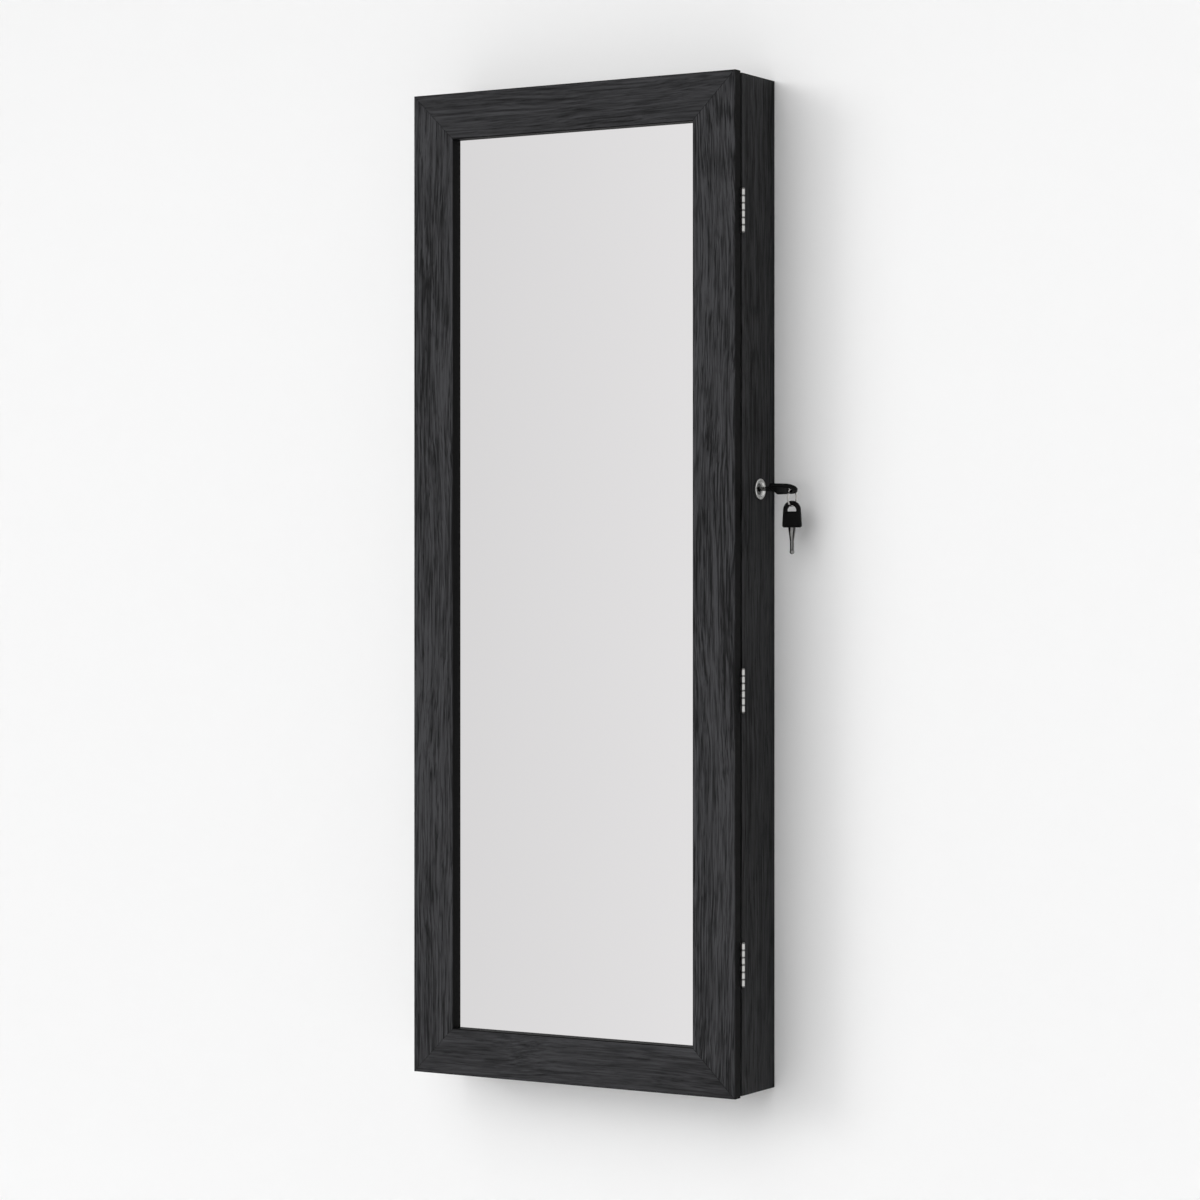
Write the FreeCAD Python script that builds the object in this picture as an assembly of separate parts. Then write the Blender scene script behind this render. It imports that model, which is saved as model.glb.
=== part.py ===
"""Wall-hung jewelry cabinet with a mirror door, side lock and two keys.

Frame: millimetres, +Z up, +X to the right of someone facing the mirror, the
mirror faces -Y and the wall is the plane Y = 0. The origin is the middle of
the four wall-screw holes, on the back of the hanging rails.
"""
import FreeCAD, Part
import math
import os
from FreeCAD import Vector

# ---- door ---------------------------------------------------------------
DOOR_WIDTH = 400.0
DOOR_HEIGHT = 1070.0
DOOR_THICKNESS = 12.0
FRAME_FACE = 50.4          # width of a mitred frame member, seen from the front
MIRROR_RECESS = 8.2        # from the frame's front down to the glass
GLASS_THICKNESS = 2.0
REBATE_LAP = 8.0           # how far the frame laps over the glass
GLASS_PLAY = 0.5
ARRIS = 0.5                # small chamfer along the frame's front edges

# ---- cabinet box ----------------------------------------------------------
DOOR_OVERHANG = 1.6        # door past the box at the top and bottom
DOOR_SIDE_OVERHANG = 0.1   # the same at the sides
DOOR_GAP = 3.5
BODY_DEPTH = 72.8
PANEL = 9.0                # side, top and bottom boards
BACK_THICKNESS = 4.0
GROOVE_DEPTH = 4.0
GROOVE_PLAY = 0.2
LINING_THICKNESS = 1.5

# ---- wall fastening -------------------------------------------------------
HANG_RAIL_THICKNESS = 10.0
HANG_RAIL_HEIGHT = 60.0
WALL_SCREW_SPACING = 300.0
WALL_SCREW_HOLE = 5.5

# ---- dowels and pins --------------------------------------------------------
DOWEL_DIAMETER = 5.0
DOWEL_LENGTH = 24.0
DOWEL_PLAY = 0.05
DOWEL_EDGE = 14.0          # dowel centre from the box's front and back edges
SKIN_OVER_HOLE = 3.0       # wood left between a blind hole and the outer face

# ---- shelves ------------------------------------------------------------------
SHELF_THICKNESS = 7.0
SHELF_PLAY = 0.4
SHELF_FRONT_SETBACK = 8.0
UPPER_SHELF_OVER_LOCK = 77.6
MIDDLE_SHELF_UNDER_LOCK = 144.4
LOWER_SHELF_UNDER_MIDDLE = 170.0
FENCE_THICKNESS = 4.0
FENCE_HEIGHT = 18.0
SHELF_PIN_DIAMETER = 5.0
SHELF_PIN_REACH = 7.0
SHELF_PIN_INSET = 10.0

# ---- necklace rail ------------------------------------------------------------
NECKLACE_RAIL_HEIGHT = 26.0
NECKLACE_RAIL_THICKNESS = 12.0
NECKLACE_RAIL_DROP = 42.0  # rail's top edge below the inside of the top board
NECKLACE_RAIL_END = 12.0   # space between the rail's end and the side board
HOOK_PITCH = 36.0
HOOK_COUNT = 9
HOOK_WIRE = 2.4
HOOK_REACH = 13.0
HOOK_BEND = 4.5
HOOK_SEAT = 6.0

# ---- earring board ------------------------------------------------------------
EARRING_BOARD_THICKNESS = 4.0
EARRING_BOARD_GAP = 6.0    # batten thickness behind the board
EARRING_BOARD_MARGIN = 20.0
EARRING_BOARD_FOOT = 10.0  # above the middle shelf
EARRING_BOARD_HEAD = 18.0  # below the upper shelf
EARRING_SLOT_LENGTH = 26.0
EARRING_SLOT_WIDTH = 2.0
EARRING_COLUMNS = 7
EARRING_ROWS = 7
EARRING_SLOT_MARGIN_X = 15.4   # batten to the first column's share of the board
EARRING_SLOT_MARGIN_Z = 2.5
BATTEN_WIDTH = 12.0

# ---- bracelet bar -------------------------------------------------------------
BRACELET_BAR_DIAMETER = 10.0
BRACELET_BAR_DROP = 45.0   # bar centre below the middle shelf
BRACELET_BAR_FROM_WALL = 42.0
SOCKET_DIAMETER = 20.0
SOCKET_THICKNESS = 8.0
SOCKET_FLOOR = 2.0
BAR_PLAY = 0.1

# ---- ring cushion tray ----------------------------------------------------------
RING_ROLL_DIAMETER = 15.0
RING_ROLL_COUNT = 8
RING_ROLL_PITCH = 16.2
RING_TRAY_MARGIN = 16.0
RING_TRAY_WALL = 5.0
RING_TRAY_FLOOR = 3.0
RING_TRAY_LIP = 12.0
RING_TRAY_DROP = 14.0      # tray's top edge below the lower shelf
ROLL_PLAY = 0.3
ROLL_END_ROUND = 3.4

# ---- hinges ---------------------------------------------------------------------
HINGE_TOP_HEIGHT = 924.6   # hinge centres above the door's lower edge
HINGE_MIDDLE_HEIGHT = 424.3
HINGE_BOTTOM_HEIGHT = 138.8
HINGE_LENGTH = 45.8
HINGE_KNUCKLES = 6
KNUCKLE_GAP = 0.5
BARREL_DIAMETER = 4.2
BARREL_OUTSIDE_DOOR = 2.0  # hinge axis outside the door's edge
HINGE_PIN_DIAMETER = 2.2
PIN_RUNNING_FIT = 0.04
PIN_HEAD_HEIGHT = 0.5
PIN_HEAD_INSET = 0.3       # pin head's edge inside the barrel's
LEAF_THICKNESS = 1.2
BODY_LEAF_WIDTH = 8.6
DOOR_LEAF_WIDTH = 19.0
DOOR_SCREW_INSET = 10.45   # screws from the door leaf's outer edge
LEAF_EDGE_SETBACK = 0.6    # leaf edge to barrel where the other leaf's knuckle is
HINGE_SCREW_DIAMETER = 2.5
HINGE_SCREW_HEAD = 4.6
HINGE_SCREW_LENGTH = 9.0
HINGE_SCREW_PITCH = 15.25
SCREW_PLAY = 0.05

# ---- lock -------------------------------------------------------------------------
LOCK_HEIGHT = 635.0        # lock centre above the door's lower edge
LOCK_FROM_WALL = 37.4
LOCK_BARREL_DIAMETER = 18.0
LOCK_BARREL_LENGTH = 17.0  # behind the outer face of the side board
LOCK_FLANGE_DIAMETER = 22.2
LOCK_FLANGE_THICKNESS = 1.6
LOCK_RIM_WIDTH = 2.2
LOCK_RIM_HEIGHT = 2.3
LOCK_HOLE_PLAY = 0.1
LOCK_PLUG_DIAMETER = 12.0
PLUG_RUNNING_FIT = 0.05
PLUG_PROUD = 0.3           # plug past the barrel, at the cam
KEY_BORE_DIAMETER = 5.6
KEYWAY_HEIGHT = 2.8
KEYWAY_WIDTH = 7.0
KEY_BORE_DEPTH = 13.5
LOCK_NUT_DIAMETER = 25.0
LOCK_NUT_THICKNESS = 4.0
CAM_THICKNESS = 2.0
CAM_REACH = 26.5
CAM_ARM_WIDTH = 7.0
CAM_HUB_DIAMETER = 12.0
CAM_FINGER_WIDTH = 4.0
CAM_FINGER_RISE = 5.0
CAM_SCREW_DIAMETER = 3.0
CAM_SCREW_DEPTH = 4.0
CAM_SCREW_HEAD = 6.5
CAM_SCREW_HEAD_HEIGHT = 1.8

# ---- keeper on the door -----------------------------------------------------------
KEEPER_SHEET = 1.5
KEEPER_WIDTH = 12.0
KEEPER_CLEARANCE = 2.0     # between the cam's finger and the keeper's lip
KEEPER_SHELF_CLEARANCE = 1.4
KEEPER_FOOT = 24.0
KEEPER_SCREW_PITCH = 12.0

# ---- keys and ring -----------------------------------------------------------------
BOW_LENGTH = 28.2
BOW_HALF_WIDTH = 11.1
BOW_SHOULDER_HALF_WIDTH = 9.95
BOW_SHOULDER = 19.0        # where the arched end begins, from the bow's base
BOW_CORNER = 2.2
BOW_THICKNESS = 3.6
BOW_HOLE_HALF_WIDTH = 5.7
BOW_HOLE_BASE = 16.9
BOW_HOLE_SPRING = 19.0
BOW_BRIDGE = 5.0           # material between the hole and the bow's outer end
BOW_ROUND = 0.9
BLADE_LENGTH = 28.0
BLADE_THICKNESS = 2.0
BLADE_WIDTH = 4.4
BLADE_SHOULDER_WIDTH = 8.4
BLADE_SHOULDER_LENGTH = 1.5
BLADE_TAPER_LENGTH = 13.0
BLADE_TANG = 8.0           # part of the blade moulded into the bow
KEY_TIP_DIAMETER = 5.0
KEY_INSERTED = 12.0        # blade length inside the lock when the key is home
KEY_TILT = 23.0            # bow plane below horizontal, towards the wall
RING_MEAN_RADIUS = 9.5
RING_RADIAL = 1.0
RING_AXIAL = 1.9
RING_PLAY = 0.15
RING_EDGE_ROUND = 0.3
SPARE_KEY_DROP = 1.25      # ring wire centre to the arch of the spare key's hole

# ---- magnetic catch and bumpers ---------------------------------------------------
CATCH_HEIGHT = 46.0
CATCH_WIDTH = 13.0
CATCH_DEPTH = 14.0
CATCH_TO_STRIKE = 0.3
MAGNET_THICKNESS = 4.0
MAGNET_MARGIN = 4.0
STRIKE_THICKNESS = 1.2
STRIKE_WIDTH = 13.0
STRIKE_HEIGHT = 42.0
CATCH_DROP = 60.0          # catch centre below the inside of the top board
BUMPER_DIAMETER = 7.0
BUMPER_CLEARANCE = 0.3
BUMPER_FROM_END = 40.0

# ---- inside of the door -------------------------------------------------------------
DOOR_LINING_LAP = 6.0      # lining board past the rebate, over the frame's back
DOOR_LINING_THICKNESS = 1.5
DOOR_RAIL_WIDTH = 260.0
DOOR_RAIL_HEIGHT = 22.0
DOOR_RAIL_THICKNESS = 6.0
DOOR_RAIL_DROP = 110.0     # from the door's upper edge to the rail's top
DOOR_HOOK_COUNT = 7
DOOR_HOOK_REACH = 9.0

# ---- derived planes -------------------------------------------------------------------
BODY_X = DOOR_WIDTH / 2 - DOOR_SIDE_OVERHANG
BODY_Z = DOOR_HEIGHT / 2 - DOOR_OVERHANG
BODY_FRONT = -BODY_DEPTH
INNER_X = BODY_X - PANEL
INNER_Z = BODY_Z - PANEL
DOOR_X = DOOR_WIDTH / 2
DOOR_Z = DOOR_HEIGHT / 2
DOOR_BACK = BODY_FRONT - DOOR_GAP
DOOR_FRONT = DOOR_BACK - DOOR_THICKNESS
GLASS_FRONT = DOOR_FRONT + MIRROR_RECESS
GLASS_BACK = GLASS_FRONT + GLASS_THICKNESS
RAIL_FRONT = -HANG_RAIL_THICKNESS
BOARD_FRONT = RAIL_FRONT - BACK_THICKNESS
LINING_FRONT = BOARD_FRONT - LINING_THICKNESS
SHELF_FRONT = BODY_FRONT + SHELF_FRONT_SETBACK
WALL_SCREW_ROW = INNER_Z - HANG_RAIL_HEIGHT / 2
HINGE_X = DOOR_X + BARREL_OUTSIDE_DOOR
HINGE_Y = BODY_FRONT - DOOR_GAP / 2
LOCK_Z = -DOOR_Z + LOCK_HEIGHT
LOCK_Y = -LOCK_FROM_WALL
BARREL_END = BODY_X - LOCK_BARREL_LENGTH
PLUG_END = BARREL_END - PLUG_PROUD
PLUG_FACE = BODY_X + LOCK_FLANGE_THICKNESS
CAM_BACK = PLUG_END - CAM_THICKNESS
KEY_BASE = PLUG_FACE + BLADE_LENGTH - KEY_INSERTED   # where the bow begins
RIM_INNER = BOW_HOLE_HALF_WIDTH
RIM_CENTRE = (RIM_INNER + BOW_SHOULDER_HALF_WIDTH) / 2
RIM_HALF = (BOW_SHOULDER_HALF_WIDTH - RIM_INNER) / 2
RING_X = KEY_BASE + (BOW_HOLE_SPRING + BOW_SHOULDER) / 2
RING_DROP = (RING_MEAN_RADIUS - RING_RADIAL / 2 - RING_PLAY
             - math.hypot(RIM_HALF, BOW_THICKNESS / 2))
TILT = math.radians(KEY_TILT)
RING_Y = LOCK_Y + RIM_CENTRE * math.cos(TILT)
RIM_Z = LOCK_Z - RIM_CENTRE * math.sin(TILT)
RING_Z = RIM_Z - RING_DROP
SPARE_PIVOT_Z = RING_Z - RING_MEAN_RADIUS
SHELF_FLOORS = {
    "upper": LOCK_Z + UPPER_SHELF_OVER_LOCK,
    "middle": LOCK_Z - MIDDLE_SHELF_UNDER_LOCK,
    "lower": LOCK_Z - MIDDLE_SHELF_UNDER_LOCK - LOWER_SHELF_UNDER_MIDDLE,
}
HINGE_CENTRES = {
    "top": -DOOR_Z + HINGE_TOP_HEIGHT,
    "middle": -DOOR_Z + HINGE_MIDDLE_HEIGHT,
    "bottom": -DOOR_Z + HINGE_BOTTOM_HEIGHT,
}

X_AXIS = Vector(1, 0, 0)
Y_AXIS = Vector(0, 1, 0)
Z_AXIS = Vector(0, 0, 1)


# ---- drawing helpers --------------------------------------------------------------------
def block(x0, x1, y0, y1, z0, z1):
    """Box between two corners."""
    return Part.makeBox(x1 - x0, y1 - y0, z1 - z0, Vector(x0, y0, z0))


def rod(diameter, length, start, axis):
    """Round bar from start along axis."""
    return Part.makeCylinder(diameter / 2, length, start, axis)


def prism(points, direction):
    """Straight-sided solid from a closed outline of points."""
    wire = Part.makePolygon(points + [points[0]])
    return Part.Face(wire).extrude(direction)


def group(solids):
    """Separate solids kept together in one node."""
    return Part.makeCompound(solids)


def countersunk_screw(head, shank, length, start, axis):
    """Flat-headed screw whose head's face is at start, pointing along axis."""
    cone_height = (head - shank) / 2
    cone = Part.makeCone(head / 2, shank / 2, cone_height, start, axis)
    return cone.fuse(rod(shank, length, start, axis)).removeSplitter()


# ---- cabinet box --------------------------------------------------------------------------
def back_groove():
    """Space that the back board takes in the four boards around it."""
    reach_x = INNER_X + GROOVE_DEPTH
    reach_z = INNER_Z + GROOVE_DEPTH
    return block(-reach_x, reach_x, BOARD_FRONT, RAIL_FRONT, -reach_z, reach_z)


def dowel_places():
    """Start points and directions of the dowels through the box corners."""
    places = []
    for side in (-1, 1):
        for end in (-1, 1):
            for y in (-DOWEL_EDGE - HANG_RAIL_THICKNESS, BODY_FRONT + DOWEL_EDGE):
                x = side * (BODY_X - SKIN_OVER_HOLE)
                z = end * (BODY_Z - PANEL / 2)
                places.append((Vector(x, y, z), Vector(-side, 0, 0)))
    return places


def dowel_holes():
    """Blind holes for the corner dowels."""
    return group([rod(DOWEL_DIAMETER + 2 * DOWEL_PLAY, DOWEL_LENGTH + DOWEL_PLAY, start, axis)
                  for start, axis in dowel_places()])


def shelf_pin_places():
    """Centres of the shelf pins at the inner faces of the side boards."""
    places = []
    for floor in SHELF_FLOORS.values():
        for side in (-1, 1):
            for y in (LINING_FRONT - SHELF_PIN_INSET, SHELF_FRONT + SHELF_PIN_INSET):
                places.append(Vector(side * INNER_X, y, floor - SHELF_PIN_DIAMETER / 2))
    return places


def shelf_pin(place, play):
    """One round shelf pin, half in the side board and half under the shelf."""
    inward = -1 if place.x > 0 else 1
    depth = PANEL - SKIN_OVER_HOLE
    start = Vector(place.x - inward * depth, place.y, place.z)
    return rod(SHELF_PIN_DIAMETER + 2 * play, depth + SHELF_PIN_REACH, start, Vector(inward, 0, 0))


def side_board(side):
    """Upright side board, grooved for the back and bored for its pins."""
    x0, x1 = sorted((side * INNER_X, side * BODY_X))
    board = block(x0, x1, BODY_FRONT, 0, -BODY_Z, BODY_Z)
    pins = group([shelf_pin(place, DOWEL_PLAY) for place in shelf_pin_places()])
    board = board.cut(back_groove()).cut(dowel_holes()).cut(pins)
    if side > 0:
        board = board.cut(rod(LOCK_BARREL_DIAMETER + 2 * LOCK_HOLE_PLAY, 2 * PANEL,
                              Vector(INNER_X - PANEL / 2, LOCK_Y, LOCK_Z), X_AXIS))
        board = board.cut(hinge_screws(HINGE_CENTRES, body_screw_places, SCREW_PLAY))
    return board


def end_board(end):
    """Top or bottom board between the sides."""
    z0, z1 = sorted((end * INNER_Z, end * BODY_Z))
    board = block(-INNER_X, INNER_X, BODY_FRONT, 0, z0, z1)
    return board.cut(back_groove()).cut(dowel_holes())


def wall_screw_holes():
    """Four holes for the wall screws, through the back board and its rails."""
    reach = -LINING_FRONT
    return group([rod(WALL_SCREW_HOLE, reach, Vector(x, LINING_FRONT, z), Y_AXIS)
                  for x in (-WALL_SCREW_SPACING / 2, WALL_SCREW_SPACING / 2)
                  for z in (-WALL_SCREW_ROW, WALL_SCREW_ROW)])


def back_board():
    """Thin back board, held in the grooves."""
    reach_x = INNER_X + GROOVE_DEPTH - GROOVE_PLAY
    reach_z = INNER_Z + GROOVE_DEPTH - GROOVE_PLAY
    board = block(-reach_x, reach_x, BOARD_FRONT, RAIL_FRONT, -reach_z, reach_z)
    return board.cut(wall_screw_holes())


def hanging_rail(end):
    """Rail behind the back board that takes the wall screws."""
    z0, z1 = sorted((end * INNER_Z, end * (INNER_Z - HANG_RAIL_HEIGHT)))
    return block(-INNER_X, INNER_X, RAIL_FRONT, 0, z0, z1).cut(wall_screw_holes())


def back_lining():
    """Velvet-covered board over the inside of the back."""
    board = block(-INNER_X, INNER_X, LINING_FRONT, BOARD_FRONT, -INNER_Z, INNER_Z)
    return board.cut(wall_screw_holes())


def corner_dowels():
    return group([rod(DOWEL_DIAMETER, DOWEL_LENGTH, start, axis)
                  for start, axis in dowel_places()])


# ---- shelves -----------------------------------------------------------------------------
def shelf(floor):
    """Loose shelf that rests on four pins."""
    half = INNER_X - SHELF_PLAY
    return block(-half, half, SHELF_FRONT, LINING_FRONT, floor, floor + SHELF_THICKNESS)


def fence(floor):
    """Low strip that keeps things on a shelf."""
    half = INNER_X - SHELF_PLAY
    return block(-half, half, SHELF_FRONT, SHELF_FRONT + FENCE_THICKNESS, floor, floor + FENCE_HEIGHT)


def shelf_pins():
    return group([shelf_pin(place, 0) for place in shelf_pin_places()])


# ---- necklace rail --------------------------------------------------------------------------
NECKLACE_RAIL_TOP = INNER_Z - NECKLACE_RAIL_DROP
NECKLACE_RAIL_FRONT = LINING_FRONT - NECKLACE_RAIL_THICKNESS
NECKLACE_HOOK_Z = NECKLACE_RAIL_TOP - NECKLACE_RAIL_HEIGHT / 2


def hook_row(count):
    """Evenly spaced places, centred on the cabinet."""
    return [(i - (count - 1) / 2) * HOOK_PITCH for i in range(count)]


def wire_hook(x, wall_y, z, out, reach):
    """Cup hook: a straight shank into the wood and an upturned end."""
    seat = Vector(x, wall_y - out * HOOK_SEAT, z)
    knee = Vector(x, wall_y + out * reach, z)
    middle = Vector(x, knee.y + out * HOOK_BEND * math.sin(math.pi / 4),
                    z + HOOK_BEND * (1 - math.cos(math.pi / 4)))
    turn = Vector(x, knee.y + out * HOOK_BEND, z + HOOK_BEND)
    tip = Vector(x, turn.y, turn.z + HOOK_BEND)
    path = Part.Wire([Part.makeLine(seat, knee), Part.Arc(knee, middle, turn).toShape(),
                      Part.makeLine(turn, tip)])
    ring = Part.Wire([Part.makeCircle(HOOK_WIRE / 2, seat, Vector(0, out, 0))])
    shank = path.makePipeShell([ring], True, False)
    end = Part.makeSphere(HOOK_WIRE / 2, tip)
    return shank.fuse(end).removeSplitter()


def necklace_rail():
    """Wooden rail across the top, bored for its hooks."""
    half = INNER_X - NECKLACE_RAIL_END
    rail = block(-half, half, NECKLACE_RAIL_FRONT, LINING_FRONT,
                 NECKLACE_RAIL_TOP - NECKLACE_RAIL_HEIGHT, NECKLACE_RAIL_TOP)
    bores = [rod(HOOK_WIRE + 2 * SCREW_PLAY, HOOK_SEAT + SCREW_PLAY,
                 Vector(x, NECKLACE_RAIL_FRONT, NECKLACE_HOOK_Z), Y_AXIS)
             for x in hook_row(HOOK_COUNT)]
    return rail.cut(group(bores))


def necklace_hooks():
    return group([wire_hook(x, NECKLACE_RAIL_FRONT, NECKLACE_HOOK_Z, -1, HOOK_REACH)
                  for x in hook_row(HOOK_COUNT)])


# ---- earring board ----------------------------------------------------------------------------
EARRING_HALF = INNER_X - EARRING_BOARD_MARGIN
EARRING_Z0 = SHELF_FLOORS["middle"] + SHELF_THICKNESS + EARRING_BOARD_FOOT
EARRING_Z1 = SHELF_FLOORS["upper"] - EARRING_BOARD_HEAD
EARRING_BACK = LINING_FRONT - EARRING_BOARD_GAP


def earring_board():
    """Slotted board for earrings, held off the lining by two battens."""
    front = EARRING_BACK - EARRING_BOARD_THICKNESS
    board = block(-EARRING_HALF, EARRING_HALF, front, EARRING_BACK, EARRING_Z0, EARRING_Z1)
    pitch_x = 2 * (EARRING_HALF - BATTEN_WIDTH - EARRING_SLOT_MARGIN_X) / EARRING_COLUMNS
    pitch_z = (EARRING_Z1 - EARRING_Z0 - 2 * EARRING_SLOT_MARGIN_Z) / EARRING_ROWS
    middle = (EARRING_Z0 + EARRING_Z1) / 2
    slots = []
    for column in range(EARRING_COLUMNS):
        for row in range(EARRING_ROWS):
            x = (column - (EARRING_COLUMNS - 1) / 2) * pitch_x
            z = middle + (row - (EARRING_ROWS - 1) / 2) * pitch_z
            slots.append(block(x - EARRING_SLOT_LENGTH / 2, x + EARRING_SLOT_LENGTH / 2,
                               front, EARRING_BACK,
                               z - EARRING_SLOT_WIDTH / 2, z + EARRING_SLOT_WIDTH / 2))
    return board.cut(group(slots))


def earring_battens():
    """Two uprights between the lining and the earring board."""
    battens = []
    for side in (-1, 1):
        x0, x1 = sorted((side * EARRING_HALF, side * (EARRING_HALF - BATTEN_WIDTH)))
        battens.append(block(x0, x1, EARRING_BACK, LINING_FRONT, EARRING_Z0, EARRING_Z1))
    return group(battens)


# ---- bracelet bar --------------------------------------------------------------------------------
BAR_Z = SHELF_FLOORS["middle"] - BRACELET_BAR_DROP
BAR_HALF = INNER_X - SOCKET_FLOOR


def bracelet_bar():
    return rod(BRACELET_BAR_DIAMETER, 2 * BAR_HALF,
               Vector(-BAR_HALF, -BRACELET_BAR_FROM_WALL, BAR_Z), X_AXIS)


def bracelet_sockets():
    """Two round cups on the side boards that hold the bar's ends."""
    cups = []
    for side in (-1, 1):
        wall = Vector(side * INNER_X, -BRACELET_BAR_FROM_WALL, BAR_Z)
        cup = rod(SOCKET_DIAMETER, SOCKET_THICKNESS, wall, Vector(-side, 0, 0))
        hollow = rod(BRACELET_BAR_DIAMETER + 2 * BAR_PLAY, SOCKET_THICKNESS,
                     wall - Vector(side * SOCKET_FLOOR, 0, 0), Vector(-side, 0, 0))
        cups.append(cup.cut(hollow))
    return group(cups)


# ---- ring cushion tray ----------------------------------------------------------------------------
RING_TRAY_HALF = INNER_X - RING_TRAY_MARGIN
RING_TRAY_TOP = SHELF_FLOORS["lower"] - RING_TRAY_DROP
RING_FIELD = (RING_ROLL_COUNT - 1) * RING_ROLL_PITCH + RING_ROLL_DIAMETER + 2 * ROLL_PLAY
RING_TRAY_HEIGHT = RING_FIELD + 2 * RING_TRAY_WALL
RING_TRAY_FRONT = LINING_FRONT - RING_TRAY_FLOOR - RING_TRAY_LIP


def ring_tray():
    """Shallow frame on the lining that holds the ring rolls."""
    z1 = RING_TRAY_TOP
    z0 = z1 - RING_TRAY_HEIGHT
    outer = block(-RING_TRAY_HALF, RING_TRAY_HALF, RING_TRAY_FRONT, LINING_FRONT, z0, z1)
    inner = block(-RING_TRAY_HALF + RING_TRAY_WALL, RING_TRAY_HALF - RING_TRAY_WALL,
                  RING_TRAY_FRONT, LINING_FRONT - RING_TRAY_FLOOR,
                  z0 + RING_TRAY_WALL, z1 - RING_TRAY_WALL)
    return outer.cut(inner)


def ring_rolls():
    """Padded rolls that grip rings between them, with domed ends."""
    half = RING_TRAY_HALF - RING_TRAY_WALL - ROLL_PLAY
    radius = RING_ROLL_DIAMETER / 2
    y = LINING_FRONT - RING_TRAY_FLOOR - ROLL_PLAY - radius
    first = RING_TRAY_TOP - RING_TRAY_WALL - ROLL_PLAY - radius
    rolls = []
    for i in range(RING_ROLL_COUNT):
        z = first - i * RING_ROLL_PITCH
        roll = rod(RING_ROLL_DIAMETER, 2 * half, Vector(-half, y, z), X_AXIS)
        rolls.append(roll.makeFillet(ROLL_END_ROUND, [e for e in roll.Edges if e.Closed]))
    return group(rolls)


# ---- hinges ---------------------------------------------------------------------------------------
def knuckle_spans(centre, first):
    """Heights of every second knuckle of one hinge."""
    pitch = HINGE_LENGTH / HINGE_KNUCKLES
    bottom = centre - HINGE_LENGTH / 2
    return [(bottom + i * pitch + KNUCKLE_GAP / 2, bottom + (i + 1) * pitch - KNUCKLE_GAP / 2)
            for i in range(first, HINGE_KNUCKLES, 2)]


def hinge_leaf(centre, inner_x, y0, y1, first):
    """Flat leaf with its share of the rolled knuckles."""
    edge = HINGE_X - BARREL_DIAMETER / 2 - LEAF_EDGE_SETBACK
    leaf = block(inner_x, edge, y0, y1, centre - HINGE_LENGTH / 2, centre + HINGE_LENGTH / 2)
    for z0, z1 in knuckle_spans(centre, first):
        leaf = leaf.fuse(block(edge, HINGE_X, y0, y1, z0, z1))
        leaf = leaf.fuse(rod(BARREL_DIAMETER, z1 - z0, Vector(HINGE_X, HINGE_Y, z0), Z_AXIS))
    bore = rod(HINGE_PIN_DIAMETER + 2 * PIN_RUNNING_FIT, 2 * HINGE_LENGTH,
               Vector(HINGE_X, HINGE_Y, centre - HINGE_LENGTH), Z_AXIS)
    return leaf.cut(bore).removeSplitter()


def body_leaf(centre):
    """Leaf on the front edge of the side board."""
    y0 = BODY_FRONT - LEAF_THICKNESS
    leaf = hinge_leaf(centre, INNER_X, y0, BODY_FRONT, 1)
    return leaf.cut(hinge_screws({"one": centre}, body_screw_places, SCREW_PLAY))


def door_leaf(centre):
    """Leaf on the back of the door's frame."""
    inner = HINGE_X - BARREL_DIAMETER / 2 - LEAF_EDGE_SETBACK - DOOR_LEAF_WIDTH
    leaf = hinge_leaf(centre, inner, DOOR_BACK, DOOR_BACK + LEAF_THICKNESS, 0)
    return leaf.cut(hinge_screws({"one": centre}, door_screw_places, SCREW_PLAY))


def hinge_pin(centre):
    """Pin through the knuckles of one hinge, headed at both ends."""
    half = HINGE_LENGTH / 2
    pin = rod(HINGE_PIN_DIAMETER, HINGE_LENGTH, Vector(HINGE_X, HINGE_Y, centre - half), Z_AXIS)
    for z in (centre - half - PIN_HEAD_HEIGHT, centre + half):
        pin = pin.fuse(rod(BARREL_DIAMETER - 2 * PIN_HEAD_INSET, PIN_HEAD_HEIGHT,
                           Vector(HINGE_X, HINGE_Y, z), Z_AXIS))
    return pin.removeSplitter()


def body_screw_places(centre):
    """Head centres and direction of the screws into the side board."""
    x = INNER_X + BODY_LEAF_WIDTH / 2
    y = BODY_FRONT - LEAF_THICKNESS
    return [(Vector(x, y, centre + row * HINGE_SCREW_PITCH), Y_AXIS) for row in (-1, 0, 1)]


def door_screw_places(centre):
    """Head centres and direction of the screws into the door's frame."""
    x = HINGE_X - BARREL_DIAMETER / 2 - LEAF_EDGE_SETBACK - DOOR_SCREW_INSET
    y = DOOR_BACK + LEAF_THICKNESS
    return [(Vector(x, y, centre + row * HINGE_SCREW_PITCH), -Y_AXIS) for row in (-1, 0, 1)]


def hinge_screws(centres, places, play):
    """Countersunk screws of all hinges, or with play the holes for them."""
    screws = []
    for centre in centres.values():
        for start, axis in places(centre):
            screws.append(countersunk_screw(HINGE_SCREW_HEAD + 2 * play, HINGE_SCREW_DIAMETER + 2 * play,
                                            HINGE_SCREW_LENGTH + play, start, axis))
    return group(screws)


# ---- lock -------------------------------------------------------------------------------------------
def about_lock(shape, degrees):
    """Turn a shape about the lock's axis."""
    turned = shape.copy()
    turned.rotate(Vector(0, LOCK_Y, LOCK_Z), X_AXIS, degrees)
    return turned


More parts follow.
